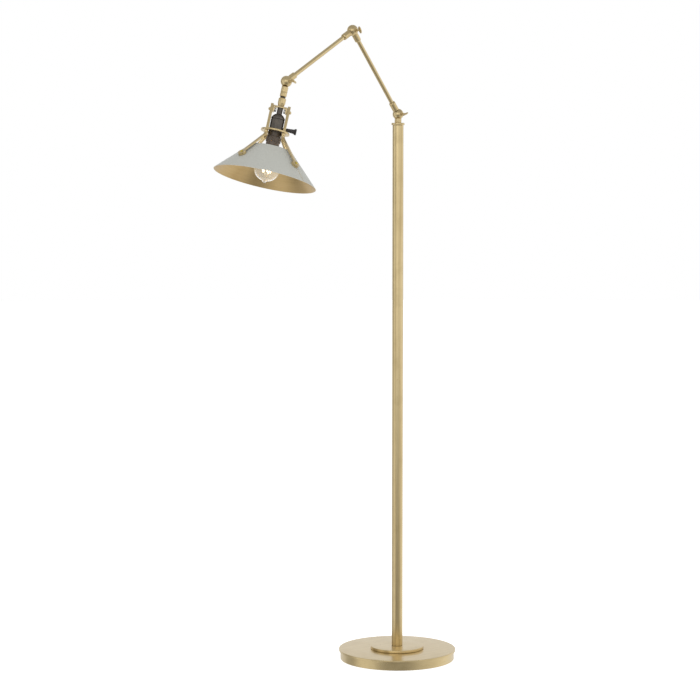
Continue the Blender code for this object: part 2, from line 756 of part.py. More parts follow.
def on_cone(slant, lift):
    """Puts a piece's +Z along the cone's outward normal, at a distance from its apex."""
    x = slant * sin(CONE) + lift * cos(CONE)
    z = CONE_APEX + slant * cos(CONE) - lift * sin(CONE)
    return move_matrix(x, 0, z) @ Matrix.Rotation(pi / 2 + CONE, 4, "Y")


def at_plate_screw(radius):
    """Puts a piece's +Z straight out from the stem, at the height of the plate's screws."""
    return move_matrix(radius, 0, PLATE_SCREW) @ turn_matrix(90, "Y")


def bracket_plate():
    """A strap whose two ends are bent down inside the legs."""
    tab_end = PLATE_START + TAB_DROP
    half_outline = [
        (TAB_OUTSIDE, PLATE_START),
        (TAB_OUTSIDE, tab_end),
        (TAB_INSIDE, tab_end),
        (TAB_INSIDE, PLATE_END),
    ]
    outline = half_outline + [(-x, z) for x, z in reversed(half_outline)]
    plate = flat_bar(outline, STRAP_WIDTH)
    for degrees in (0, 180):
        hole = disc(SCREW_HOLE, -TAB_THICK - SLIVER, SLIVER, COARSE)
        plate = cut(plate, placed(hole, turn_matrix(degrees, "Z") @ at_plate_screw(TAB_OUTSIDE)))
    plate = placed(plate, turn_matrix(LEG_ANGLES[0], "Z"))
    return cut(plate, disc(NIPPLE_RADIUS + GAP, PLATE_START - SLIVER, PLATE_END + SLIVER, COARSE))


def bracket_ring():
    """A flat ring with a slot for each leg."""
    low = RING_CENTRE - RING_THICK / 2
    high = RING_CENTRE + RING_THICK / 2
    ring = tube(RING_RADIUS, RING_BORE, low, high, FINE)
    half = LEG_WIDTH / 2 + GAP
    for degrees in LEG_ANGLES:
        slot = block((0, -half, low - SLIVER), (LEG_OUTSIDE + GAP, half, high + SLIVER))
        ring = cut(ring, placed(slot, turn_matrix(degrees, "Z")))
    return ring


def shade_cone():
    """The cone, open above and below, with a hole for each of the bracket's screws."""
    wall = SHADE_WALL / cos(CONE)
    top_radius = (SHADE_TOP - CONE_APEX) * tan(CONE)
    outline = [
        (top_radius, SHADE_TOP),
        (SHADE_RIM_RADIUS, SHADE_RIM),
        (SHADE_RIM_RADIUS - wall, SHADE_RIM),
        (top_radius - wall, SHADE_TOP),
    ]
    cone = turned(outline, FINE, hollow=True)
    for quarter in range(4):
        hole = disc(SCREW_HOLE, -SHADE_WALL - SLIVER, SLIVER, COARSE)
        hole = placed(hole, on_cone(EYE_SLANT, 0))
        cone = cut(cone, placed(hole, turn_matrix(90 * quarter, "Z")))
    return cone


def make_bracket(empty, metal, steel, yellow, paint):
    """The plate, legs, ring and shade, with their fasteners."""
    add("bracket_plate", bracket_plate(), metal, empty)
    add("bracket_ring", bracket_ring(), metal, empty)
    add("shade", shade_cone(), paint, empty)

    head_seat = LEG_OUTSIDE + GAP
    nut_outside = TAB_INSIDE - GAP
    plate_grip = head_seat - (nut_outside - PLATE_NUT_THICK - NUT_PROUD)
    shade_grip = STRUT_LIFT + BAR_THICK / 2 + GAP + SHADE_WALL + GAP + SMALL_NUT_THICK + NUT_PROUD
    plate_nut = hexagon_nut(PLATE_NUT_WIDTH, SCREW_HOLE, -PLATE_NUT_THICK, 0)
    shade_nut = hexagon_nut(SMALL_NUT_WIDTH, SCREW_HOLE, -SMALL_NUT_THICK, 0)
    plate_screw = pan_screw(SCREW_HEAD_RADIUS, SCREW_HEAD_HEIGHT, plate_grip)
    shade_screw = pan_screw(SHADE_SCREW_HEAD_RADIUS, SHADE_SCREW_HEAD_HEIGHT, shade_grip)
    spacer = tube(EYE_RADIUS, SCREW_HOLE, GAP, SPACER_THICK)
    eye_angles = (0, 90, 180, 270)
    kinds = {
        "bracket_leg": (bracket_leg(), metal, Matrix(), LEG_ANGLES),
        "plate_screw": (plate_screw, metal, at_plate_screw(head_seat), LEG_ANGLES),
        "plate_nut": (plate_nut, steel, at_plate_screw(nut_outside), LEG_ANGLES),
        "eye_spacer": (spacer, metal, on_cone(EYE_SLANT, 0), eye_angles),
        "shade_screw": (
            shade_screw,
            yellow,
            on_cone(EYE_SLANT, STRUT_LIFT + BAR_THICK / 2 + GAP),
            eye_angles,
        ),
        "shade_nut": (shade_nut, steel, on_cone(EYE_SLANT, -SHADE_WALL - GAP), eye_angles),
    }
    for kind, (shape, finish, matrix, angles) in kinds.items():
        shape = placed(shape, matrix)
        for number, degrees in enumerate(angles, 1):
            turn = (0, 0, radians(degrees))
            shape = add(f"{kind}_{number}", shape, finish, empty, turn=turn).data


def make_swivel_cup(empty, metal, steel):
    """The lower half of the stem, and the threaded nipple that hangs the socket from it."""
    cup_end = PLATE_START - GAP
    shelf = CUP_START + CUP_SHELF
    bore = NIPPLE_RADIUS + GAP
    cup = turned(
        [
            (CUP_RADIUS - CUP_CHAMFER, CUP_START),
            (CUP_RADIUS, CUP_START + CUP_CHAMFER),
            (CUP_RADIUS, CUP_TAPER_START),
            (NECK_OUTSIDE, cup_end),
            (bore, cup_end),
            (bore, shelf),
            (STUD_RADIUS + GAP, shelf),
            (STUD_RADIUS + GAP, CUP_START),
        ],
        hollow=True,
    )
    add("swivel_cup", cup, metal, empty)
    nipple_start = shelf + GAP + STUD_HEAD_THICK + 2 * GAP
    nipple = tube(NIPPLE_RADIUS, NIPPLE_BORE, nipple_start, nipple_start + NIPPLE_LENGTH, COARSE)
    add("socket_nipple", nipple, steel, empty)


def make_socket(empty, bronze, brass, porcelain):
    """The lamp holder: cap, shell, core with its centre contact, and screw shell."""
    neck_bore = NIPPLE_RADIUS + GAP
    inner_bead = BEAD_RADIUS - SOCKET_WALL
    cap = turned(
        [
            (NECK_OUTSIDE, PLATE_END + GAP),
            (NECK_OUTSIDE, SOCKET_NECK_END),
            (CAP_SLOPE_START_RADIUS, CAP_SLOPE_START),
            (CAP_SLOPE_END_RADIUS, CAP_SLOPE_END),
            (DOME_RADIUS, DOME_START),
            (BEAD_RADIUS, DOME_END),
            (BEAD_RADIUS, CAP_END),
            (inner_bead, CAP_END),
            (inner_bead, DOME_END),
            (DOME_BORE_RADIUS, DOME_BORE_END),
            (neck_bore, NECK_BORE_END),
            (neck_bore, PLATE_END + GAP),
        ],
        hollow=True,
    )
    add("socket_cap", cap, bronze, empty)

    key_turn = turn_matrix(KEY_ANGLE, "Z") @ move_matrix(0, 0, KEY_CENTRE) @ turn_matrix(90, "Y")
    shell_start = CAP_END + GAP
    inner = SOCKET_RADIUS - SOCKET_WALL
    ledge = (BAND_RADIUS - SOCKET_RADIUS) / 2
    shell = turned(
        [
            (SOCKET_RADIUS, shell_start),
            (SOCKET_RADIUS, BAND_START - ledge),
            (BAND_RADIUS, BAND_START + ledge),
            (BAND_RADIUS, BAND_END - ledge),
            (SOCKET_RADIUS, BAND_END + ledge),
            (SOCKET_RADIUS, SOCKET_END),
            (inner, SOCKET_END),
            (inner, shell_start),
        ],
        hollow=True,
    )
    key_radius = KEY_SHAFT_RADIUS + GAP
    key_hole = placed(disc(key_radius, 0, BAND_RADIUS + SLIVER, COARSE), key_turn)
    add("socket_shell", cut(shell, key_hole), bronze, empty)

    core_radius = inner - 2 * GAP
    contact_end = CORE_END + CONTACT_THICK
    core = turned(
        [
            (0, CORE_START),
            (core_radius, CORE_START),
            (core_radius, CORE_END),
            (CONTACT_RADIUS, CORE_END),
            (CONTACT_RADIUS, contact_end),
            (0, contact_end),
        ]
    )
    core_hole = placed(disc(key_radius, KEY_SHAFT_START - GAP, BAND_RADIUS, COARSE), key_turn)
    add("socket_core", cut(core, core_hole), porcelain, empty)

    outer = inner - GAP
    screw_shell = tube(outer, outer - SCREW_SHELL_WALL, CORE_END + GAP, SCREW_SHELL_END)
    add("screw_shell", screw_shell, brass, empty)


def make_switch_key(parent, dark):
    """The turn knob of the switch, on an empty that lies along its own shaft."""
    turn = (0, pi / 2, radians(KEY_ANGLE))
    empty = joint_empty("switch_turn", parent, (0, 0, KEY_CENTRE), turn)
    knob = turned(
        [
            (0, KEY_SHAFT_START),
            (KEY_SHAFT_RADIUS, KEY_SHAFT_START),
            (KEY_SHAFT_RADIUS, KEY_SHAFT_END),
            (KEY_STEM_RADIUS, KEY_SHAFT_END),
            (KEY_STEM_RADIUS, KEY_WAIST),
            (KEY_HORN_RADIUS, KEY_HORN),
            (KEY_FLARE_RADIUS - KEY_EASE, KEY_FLARE_START),
            (KEY_FLARE_RADIUS, KEY_FLARE_START + KEY_EASE),
            (KEY_FLARE_RADIUS, KEY_END - KEY_EASE),
            (KEY_FLARE_RADIUS - KEY_EASE, KEY_END),
            (0, KEY_END - KEY_HOLLOW),
        ],
        COARSE,
    )
    add("switch_key", knob, dark, empty)


def make_bulb(empty, glass, brass, glow):
    """The bulb: threaded base, clear envelope, glass mount and a looped filament."""
    start = CORE_END + CONTACT_THICK + GAP
    thread_start = start + BULB_CONTACT_HEIGHT
    base_end = BULB_NECK_START - GAP
    thread_end = base_end - BULB_THREAD_RUNOUT
    pitch = (thread_end - thread_start) / BULB_THREADS
    groove = BULB_BASE_RADIUS - BULB_THREAD_DEPTH
    profile = [(0, start), (BULB_CONTACT_RADIUS, start)]
    for turn in range(BULB_THREADS):
        low = thread_start + turn * pitch
        profile += [(groove, low), (BULB_BASE_RADIUS, low + pitch / 2)]
    profile += [(groove, thread_end), (BULB_BASE_RADIUS, thread_end + pitch / 2)]
    profile += [(BULB_BASE_RADIUS, base_end), (0, base_end)]
    add("bulb_base", turned(profile), brass, empty)

    add("bulb_glass", turned(bulb_outline(), hollow=True), glass, empty)
    mount_start = base_end + GAP
    mount = [
        (0, mount_start),
        (MOUNT_RADIUS, mount_start),
        (MOUNT_WAIST, mount_start + MOUNT_FLARE),
        (MOUNT_WAIST, MOUNT_END),
        (0, MOUNT_END),
    ]
    add("bulb_mount", turned(mount, COARSE), glass, empty)
    make_filament(empty, glow)


def bulb_outline():
    """A closed profile of the envelope's wall, outside and back, with the tip at the bottom."""
    middle = (0, BULB_CENTRE)
    tip_meets = BULB_CENTRE + sqrt(BULB_RADIUS**2 - TIP_RADIUS**2)
    tip_angle = acos(TIP_RADIUS / BULB_RADIUS) * 180 / pi
    neck = [(BULB_NECK_RADIUS, BULB_NECK_START), (BULB_FLARE_RADIUS, BULB_FLARE)]
    tip = [(TIP_WAIST, tip_meets + TIP_HEIGHT / 2), (TIP_END_RADIUS, tip_meets + TIP_HEIGHT)]
    outside = neck + arc(middle, BULB_RADIUS, -BULB_SPREAD, tip_angle, 9) + tip
    inside = [(radius - BULB_WALL, height) for radius, height in neck]
    inside += arc(middle, BULB_RADIUS - BULB_WALL, -BULB_SPREAD, tip_angle, 9)
    inside.append((TIP_END_RADIUS, tip_meets + TIP_HEIGHT - BULB_WALL))
    return outside + inside[::-1]


def make_filament(empty, glow):
    """One wire that runs up and down round the mount, joined end to end."""
    curve = bpy.data.curves.new("filament", "CURVE")
    curve.dimensions = "3D"
    curve.bevel_depth = FILAMENT_RADIUS * MM
    curve.bevel_resolution = 0
    spline = curve.splines.new("POLY")
    steps = 6 * FILAMENT_LOOPS
    spline.points.add(steps - 1)
    middle = (FILAMENT_LOW + FILAMENT_HIGH) / 2
    for index, point in enumerate(spline.points):
        angle = tau * index / steps
        height = middle + (FILAMENT_HIGH - FILAMENT_LOW) / 2 * sin(angle * FILAMENT_LOOPS)
        reach = FILAMENT_RING * MM
        point.co = (reach * cos(angle), reach * sin(angle), height * MM, 1)
    spline.use_cyclic_u = True
    curve.materials.append(glow)
    made = bpy.data.objects.new("filament", curve)
    bpy.context.collection.objects.link(made)
    made.parent = empty


def main():
    for old in list(bpy.data.objects):
        bpy.data.objects.remove(old)
    metal = material("satin brass", (0.62, 0.47, 0.22), 0.32, 1.0)
    yellow = material("bright brass", (0.70, 0.52, 0.08), 0.35, 1.0)
    steel = material("zinc steel", (0.60, 0.60, 0.58), 0.35, 1.0)
    iron = material("cast iron", (0.08, 0.08, 0.08), 0.7, 0.4)
    felt = material("felt", (0.05, 0.05, 0.05), 0.95, 0.0)
    rubber = material("rubber", (0.03, 0.03, 0.03), 0.8, 0.0)
    paint = material("pale grey paint", (0.44, 0.46, 0.41), 0.45, 0.0)
    bronze = material("dark bronze", (0.08, 0.07, 0.06), 0.4, 0.6)
    black = material("black metal", (0.03, 0.03, 0.03), 0.4, 0.3)
    porcelain = material("porcelain", (0.80, 0.78, 0.72), 0.3, 0.0)
    glass = material("clear glass", (0.95, 0.95, 0.92), 0.03, 0.0, 0.25)
    glow = material("filament wire", (1.0, 0.75, 0.35), 0.5, 0.0)

    make_base(metal, iron, felt, steel, rubber)
    make_pole(metal, steel)
    swivel = make_pole_head(metal, steel)

    thumb = mesh_of("thumbscrew", thumbscrew(), metal)
    elbow = (0, 0, LOWER_ARM_LENGTH)
    lower = joint_empty("lower_arm_tilt", swivel, turn=(0, -radians(LOWER_ARM_LEAN), 0))
    make_arm("lower_arm", LOWER_ARM_LENGTH, lower, metal)
    add_thumbscrew("pole", thumb, lower)
    upper = joint_empty("upper_arm_tilt", lower, elbow, (0, -radians(ELBOW_BEND), 0))
    make_arm("upper_arm", UPPER_ARM_LENGTH, upper, metal)
    add_thumbscrew("elbow", thumb, upper)
    stem = make_stem(upper, metal, black, thumb)

    shade_swivel = joint_empty("shade_swivel", stem, turn=(0, 0, radians(SHADE_TURN)))
    make_swivel_cup(shade_swivel, metal, steel)
    make_bracket(shade_swivel, metal, steel, yellow, paint)
    make_socket(shade_swivel, bronze, yellow, porcelain)
    make_switch_key(shade_swivel, black)
    make_bulb(shade_swivel, glass, yellow, glow)


main()
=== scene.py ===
"""Looks of the pharmacy floor lamp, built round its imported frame.

Shapes are modelled in millimetres in the frame of the member that carries them, and each mesh
is moved into the lamp's own frame in metres as it is finished. A member's +Z runs away from
the joint that it hangs on, and its Y is the lamp's Y.
"""

import json
from math import acos, asin, atan2, cos, degrees, pi, radians, sin, sqrt, tan, tau

import bmesh
import bpy
from mathutils import Euler, Matrix, Vector


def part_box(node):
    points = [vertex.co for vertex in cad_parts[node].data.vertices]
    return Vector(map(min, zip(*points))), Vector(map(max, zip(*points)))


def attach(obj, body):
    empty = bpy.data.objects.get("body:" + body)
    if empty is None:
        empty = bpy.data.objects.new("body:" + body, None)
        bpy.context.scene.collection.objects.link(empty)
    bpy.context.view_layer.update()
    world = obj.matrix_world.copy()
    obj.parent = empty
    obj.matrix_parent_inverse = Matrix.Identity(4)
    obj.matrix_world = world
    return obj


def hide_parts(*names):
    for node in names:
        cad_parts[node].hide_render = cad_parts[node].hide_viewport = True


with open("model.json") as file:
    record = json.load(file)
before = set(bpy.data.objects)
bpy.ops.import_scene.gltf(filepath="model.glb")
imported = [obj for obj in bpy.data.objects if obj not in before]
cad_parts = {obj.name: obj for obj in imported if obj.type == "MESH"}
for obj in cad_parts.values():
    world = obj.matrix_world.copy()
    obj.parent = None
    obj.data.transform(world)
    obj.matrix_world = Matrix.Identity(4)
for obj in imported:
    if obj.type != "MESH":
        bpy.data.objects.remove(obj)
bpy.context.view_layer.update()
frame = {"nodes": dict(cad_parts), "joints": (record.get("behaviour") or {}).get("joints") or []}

MM = 0.001
GAP = 0.3  # clearance between pieces that touch
SLIVER = 1.0  # how far a cutter runs past what it cuts
LARGE = 128  # sides of the base, the pole, the ring and the shade
ROUND = 64  # sides of the other turned pieces
SMALL = 32  # sides of screws and holes
SOFT = 0.35  # usual rounding of a turned corner

# Base and pole
COVER_WALL = 1.8
COVER_TOP_THICK = 3.5
COVER_RADIUS = 133.0
COVER_SOFT = 1.1
LIP_THICK = 5.4
PAD_SOFT = 0.6
STEP_SOFT = 0.9
PIPE_HOLE = 5.2
CORD_HOLE = 5.3
BUSHING_HEIGHT = 8.2
BUSHING_BORE = 3.6
BUSHING_RADIUS = 5.0
BUSHING_FLANGE = 2.0
BUSHING_CHAMFER = 0.8
BUSHING_SOFT = 0.6
POLE_BORE = 11.5
POLE_SOFT = 0.3
POLE_COLLAR_SOFT = 1.9
SPINDLE_HOLE = 5.3

# Ball joints and arms
BALL = 12.6
PIN_RADIUS = 2.5
PIN_DEPTH = 8.5
JOINT_GAP = 1.3
STEM_JOINT_GAP = 2.6
COLLAR_RADIUS = 7.3
COLLAR_CHAMFER = (1.3, 2.0)  # across and along
COLLAR_START_END = 33.0
COLLAR_FINISH_END = 29.0
ROD_RADIUS = 4.75
ROD_BORE = 3.5
ROD_SEAT = 10.0
NECK_RADIUS = 7.9
NECK_LENGTH = 19.5
SPINDLE_RADIUS = 5.0
SPINDLE_LENGTH = 20.0
THUMB_SHOULDER = 4.3
THUMB_SHOULDER_THICK = 2.0
WING_CENTRE = 25.0
WING_LENGTH = 16.7
WING_HEIGHT = 8.0
WING_THICK = 2.4
WING_MIDDLE = 0.8  # how thick its middle is, as a share
WING_SOFT = 1.0
THUMB_TURNS = {"pole": 12.0, "elbow": 8.0, "shade": 17.0}

# Stem, by distance from the shade joint
STEM_RADIUS = 7.5
KNUCKLE_END = 25.2
KNUCKLE_SEAT = 17.2
BARREL_END = 35.0
BARREL_CHAMFER = 1.0
STUD_RADIUS = 3.0
STUD_NECK_RADIUS = 5.9
STUD_HEAD = (4.7, 2.5)  # radius and thickness
STUD_SOFT = 0.25
CUP_START = 38.4
CUP_SHELF = 43.9
CUP_RADIUS = 8.4
CUP_CHAMFER = (1.6, 1.8)
CUP_TAPER_START = 50.0
CUP_FOOT_RADIUS = 6.2
NIPPLE_HOLE = 5.1

# Bracket and shade, by distance along the stem's axis
PLATE_START = 58.0
PLATE_END = 61.2
PLATE_SCREW = 67.0
STRAP_WIDTH = 15.0
TAB_THICK = 3.0
TAB_END = 72.5
LEG_ANGLES = (45, 225)
LEG_RADIUS = 18.9
LEG_THICK = 6.2
LEG_WIDTH = 16.0
LEG_START = 55.2
LEG_KEY_HOLE = 3.5
SHOULDER_START = 117.4
SHOULDER_END = 123.0
SHOULDER_MARGIN = 3.0
STRUT_ANGLES = (-45, 45)
STRUT_START = 118.8
STRUT_BEND = 12.0
BEND_STEPS = 14
BAR_WIDTH = 8.2
BAR_THICK = 3.2
BAR_SOFT = 0.45
EYE_ANGLES = (0, 90, 180, 270)
SCREW_RADIUS = 2.0
SCREW_HOLE = 2.3
SCREW_HEAD = (3.9, 3.4)  # radius and height
SHADE_SCREW_HEAD = (3.2, 2.0)
SCREW_SLOT = (0.12, 0.55)  # half width and floor, as shares of the head's radius and height
PLATE_NUT = (8.0, 3.9)  # across flats, and thickness
SHADE_NUT = (7.5, 3.4)
NUT_CHAMFER = 0.6
NUT_PROUD = 0.5
RING_CENTRE = 115.3
RING_THICK = 3.6
RING_RADIUS = 32.0
RING_BORE = 20.0
RING_SOFT = 0.5
EYE_RADIUS = 9.0
EYE_SOFT = 0.4
EYE_SLANT = 114.5
SPACER_THICK = 3.2
SHADE_RIM_RADIUS = 114.8
SHADE_RIM = 223.0
SHADE_TOP = 153.5
SHADE_WALL = 1.2
SHADE_SOFT = 0.5
INSIDE_BLEND = (2.0, 0.2)  # how the paint gives way to brass across the edge
CONE = radians(44.7)
CONE_APEX = SHADE_RIM - SHADE_RIM_RADIUS / tan(CONE)
SHOULDER_REACH = LEG_RADIUS + SHOULDER_MARGIN
STRUT_RADIUS = LEG_RADIUS * sqrt(2)
STRUT_LIFT = GAP + SPACER_THICK + BAR_THICK / 2
LEG_OUTSIDE = LEG_RADIUS + LEG_THICK / 2
TAB_OUTSIDE = LEG_RADIUS - LEG_THICK / 2 - GAP
TAB_INSIDE = TAB_OUTSIDE - TAB_THICK
SEAM_WIDTH = 0.9
SEAM_LIFT = 0.25
SEAM_SINK = 0.1  # how far it starts inside the shade's wall
SEAM_MARGIN = 1.0
SEAM_ANGLE = 267.0  # where the shade's seam runs, in degrees round the stem

# Lamp holder and bulb
CAP_NECK = 6.2
CAP_NECK_END = 75.6
CAP_FLARE = (3.0, 1.2)  # out and down from the neck
CAP_INNER_RISE = 3.0  # from the neck's end to where the cap's hollow narrows
CAP_SOFT = 0.8
DOME_RADIUS = 14.5
DOME_END = 84.0
DOME_EDGE = 1.0
DOME_HIP = (2.2, 4.2)  # in and up from the dome's end
DOME_INNER_HIP = (3.4, 3.4)
BEAD_RADIUS = 15.0
CAP_END = 87.0
HOLDER_RADIUS = 14.9
HOLDER_WALL = 0.8
HOLDER_SOFT = 0.5
HOLDER_TOP_CHAMFER = (0.6, 2.0)
HOLDER_END_CHAMFER = (0.4, 2.5)
HOLDER_FACETS = 12
FACET_DEPTH = 0.8  # share of a flat-sided facet
FACET_STOP = 8.0  # where the facets are deepest, above the band
BAND_START = 127.0
BAND_END = 139.0
BAND_RADIUS = 16.5
BAND_RIBS = 48
RIB_DEPTH = 0.22
HOLDER_END = 147.4
KEY_CENTRE = 106.0
KEY_ANGLE = 225.0  # from the first leg to the key, round the stem
KEY_START = 6.0
KEY_SHAFT = 3.0
KEY_SHAFT_END = 22.8
KEY_STEM = 4.0
KEY_STEM_LENGTH = 4.9
KEY_TAPER = (0.8, 7.0)  # out, and up from the key's end
KEY_FLARE = 6.9
KEY_END = 45.5
KEY_GRIP = 3.4
KEY_CHAMFER = 1.0
KEY_DISH = 0.6
KEY_SOFT = 0.8
KEY_NOTCHES = 24
KEY_NOTCH_DEPTH = 0.14
BULB_NECK_RADIUS = 12.9
BULB_NECK_START = 148.2
BULB_CENTRE = 197.0
BULB_RADIUS = 29.7
BULB_WALL = 0.9
BULB_SIDES = 96
BULB_SPREAD = 52.0  # where the round part takes over from the neck, in degrees
BULB_FLOW = 26.0  # how far the neck and the round part reach into the curve between them
FLOW_STEPS = 12
TIP_RADIUS = 6.5
TIP_HEIGHT = 5.5
TIP_PROFILE = ((0.72, 0.22), (0.5, 0.55), (0.3, 0.85), (0.08, 1.0))  # shares of both
TIP_WALL = 1.6
MOUNT_START = 148.2
MOUNT_END = 176.0
MOUNT_FOOT = 6.0
MOUNT_FLARE = (3.0, 9.0)  # radius and height where the flare ends
MOUNT_STALK = (1.9, 5.0)  # radius, and distance from the mount's end
MOUNT_BUTTON = (2.6, 1.5)
MOUNT_TIP = 2.0
MOUNT_SOFT = 2.5
FILAMENT_RADIUS = 0.45
FILAMENT_RING = 9.5
FILAMENT_LOW = 178.0
FILAMENT_HIGH = 207.0
FILAMENT_LOOPS = 5
LOOP_STEPS = 20
SUPPORT_RADIUS = 0.16
SUPPORT_SPLAY = (0.12, 0.45)  # shares of its reach, halfway up and where it hooks
SUPPORT_SINK = 0.5

# Camera and studio
CAMERA_AT = (-3.436, -3.721, 1.147)
CAMERA_HEADING = 41.47  # from +Y towards +X, in degrees
CAMERA_DROP = 4.753  # below level, in degrees
CAMERA_LENS = 112.63

# What the metal reflects: brightness by angle round the lamp, in degrees. 0 is towards the
# camera, and lower angles are to the camera's left.
LEVEL_WITH_LAMP = [
    (-180, 0.88),
    (-140, 0.9),
    (-125, 0.4),
    (-102, 0.4),
    (-85, 1.0),
    (-62, 1.0),
    (-52, 0.45),
    (-44, 0.45),
    (-30, 1.25),
    (-8, 1.25),
    (12, 0.95),
    (100, 1.0),
    (180, 0.88),
]
BELOW_LAMP = [
    (-180, 0.85),
    (-135, 0.8),
    (-120, 0.45),
    (-100, 0.45),
    (-85, 0.9),
    (-55, 0.85),
    (-25, 0.30),
    (15, 0.30),
    (60, 0.7),
    (105, 1.0),
    (180, 0.85),
]
BELOW_TO_LEVEL = (-0.19, -0.05)  # how high a ray points, as the sine of its angle
LEVEL_TO_CEILING = (0.35, 0.55)
CEILING_GREY = 0.5
PANELS = {  # place, aim, size in metres and power in watts
    "overhead_panel": ((-1.0, -1.0, 3.6), (0, 0, 1.0), 2.6, 25.0),
    "front_panel": ((-3.9, -2.4, 2.6), (0, 0, 1.0), 0.85, 22.0),
}


# ---------------------------------------------------------------- frames of the members

JOINTS = {joint["name"]: joint for joint in frame["joints"]}


def joint_at(name):
    """Where a joint is, in metres."""
    return Vector(JOINTS[name]["pos_m"])


def member(start, along, across=Vector((0, 1, 0))):
    """The frame of a member that starts at a point in metres: a matrix from its millimetres."""
    z = along.normalized()
    x = across.cross(z).normalized()
    turn = Matrix((x, z.cross(x), z)).transposed().to_4x4()
    return Matrix.Translation(start) @ turn @ Matrix.Diagonal((MM, MM, MM, 1))


POLE_JOINT = joint_at("lower_arm_tilt")
ELBOW = joint_at("elbow_tilt")
SHADE_JOINT = joint_at("shade_tilt")
STEM_AXIS = -Vector(JOINTS["shade_swivel"]["axis"])
if (joint_at("shade_swivel") - SHADE_JOINT).dot(STEM_AXIS) < 0:
    STEM_AXIS.negate()
KEY_AXIS = Vector(JOINTS["switch_turn"]["axis"])
FIRST_LEG = Matrix.Rotation(-radians(KEY_ANGLE), 3, STEM_AXIS) @ KEY_AXIS
LOWER_LENGTH = (ELBOW - POLE_JOINT).length / MM
UPPER_LENGTH = (SHADE_JOINT - ELBOW).length / MM

STAND = Matrix.Diagonal((MM, MM, MM, 1))
HEAD = member(POLE_JOINT, Vector((0, 0, 1)))
LOWER_ARM = member(POLE_JOINT, ELBOW - POLE_JOINT)
UPPER_ARM = member(ELBOW, SHADE_JOINT - ELBOW)
STEM = member(SHADE_JOINT, STEM_AXIS)
SHADE_HEAD = member(SHADE_JOINT, STEM_AXIS, STEM_AXIS.cross(FIRST_LEG))


def span(node):
    """A CAD node's lowest and highest Z and its reach along X, in millimetres."""
    low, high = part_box(node)
    return low.z / MM, high.z / MM, (high.x - low.x) / 2 / MM


# ---------------------------------------------------------------- modelling


def turn_matrix(angle, axis):
    """A turn about one of the axes, in degrees."""
    return Matrix.Rotation(radians(angle), 4, axis)


def move_matrix(x, y, z):
    """A move."""
    return Matrix.Translation((x, y, z))


def outward(radius, height):
    """Puts a piece's +Z straight out from the Z axis, at a height along it."""
    return move_matrix(radius, 0, height) @ turn_matrix(90, "Y")


def placed(shape, matrix):
    """Moves and turns a shape."""
    bmesh.ops.transform(shape, matrix=matrix, verts=shape.verts)
    return shape


def arc(centre, radius, start, end, steps):
    """Points on an arc in a profile's plane, from one angle to another, in degrees."""
    angles = [radians(start + (end - start) * step / steps) for step in range(steps + 1)]
    return [(centre[0] + radius * cos(a), centre[1] + radius * sin(a)) for a in angles]


def softened(profile, radius=SOFT, closed=False, steps=4):
    """Rounds the corners of a profile. An open profile keeps its two ends as they are."""
    points = [Vector(point) for point in profile]
    count = len(points)
    result = []
    for index, corner in enumerate(points):
        if not closed and index in (0, count - 1):
            result.append(corner)
            continue
        before, after = points[index - 1] - corner, points[(index + 1) % count] - corner
        reach = min(before.length, after.length) * 0.45
        bend = before.angle(after)
        if bend > radians(165) or reach < 1e-4:
            result.append(corner)
            continue
        setback = min(radius / tan(bend / 2), reach)
        start, end = corner + before.normalized() * setback, corner + after.normalized() * setback
        for step in range(steps + 1):
            share = step / steps
            result.append(start.lerp(corner, share).lerp(corner.lerp(end, share), share))
    return [tuple(point) for point in result]


def turned(profile, sides=ROUND, hollow=False):
    """Turns a profile of (radius, height) points about Z. A hollow profile is a closed loop
    away from the axis, and a solid one starts and ends on the axis."""
    shape = bmesh.new()
    points = [shape.verts.new((radius, 0, height)) for radius, height in profile]
    edges = [shape.edges.new(pair) for pair in zip(points, points[1:])]
    if hollow:
        edges.append(shape.edges.new((points[-1], points[0])))
    bmesh.ops.spin(
        shape,
        geom=points + edges,
        cent=(0, 0, 0),
        axis=(0, 0, 1),
        angle=tau,
        steps=sides,
        use_merge=True,
    )
    bmesh.ops.remove_doubles(shape, verts=shape.verts, dist=1e-4)
    bmesh.ops.recalc_face_normals(shape, faces=shape.faces)
    return shape


def turned_wall(outline, soft=SOFT, sides=ROUND, steps=4):
    """Turns a closed outline that stays clear of the axis, with its corners rounded."""
    return turned(softened(outline, soft, closed=True, steps=steps), sides, hollow=True)


def disc(radius, low, high, sides=ROUND, soft=0):
    """A solid cylinder on Z, with rounded ends where it is to be soft."""
    outline = [(0, low), (radius, low), (radius, high), (0, high)]
    return turned(softened(outline, soft) if soft else outline, sides)


def tube(outer, inner, low, high, sides=ROUND, soft=SOFT, steps=4):
    """A tube or a washer on Z, with rounded ends."""
    outline = [(outer, low), (outer, high), (inner, high), (inner, low)]
    return turned_wall(outline, soft, sides, steps)


def block(low, high):
    """A box between two corners."""
    shape = bmesh.new()
    bmesh.ops.create_cube(shape, size=1)
    low, high = Vector(low), Vector(high)
    bmesh.ops.scale(shape, vec=high - low, verts=shape.verts)
    bmesh.ops.translate(shape, vec=(low + high) / 2, verts=shape.verts)
    return shape


def bevelled(shape, width):
    """Bevels every sharp edge."""
    sharp = [edge for edge in shape.edges if edge.calc_face_angle(0) > radians(30)]
    bmesh.ops.bevel(
        shape, geom=sharp, offset=width, segments=2, profile=0.5, affect="EDGES", material=-1
    )
    return shape


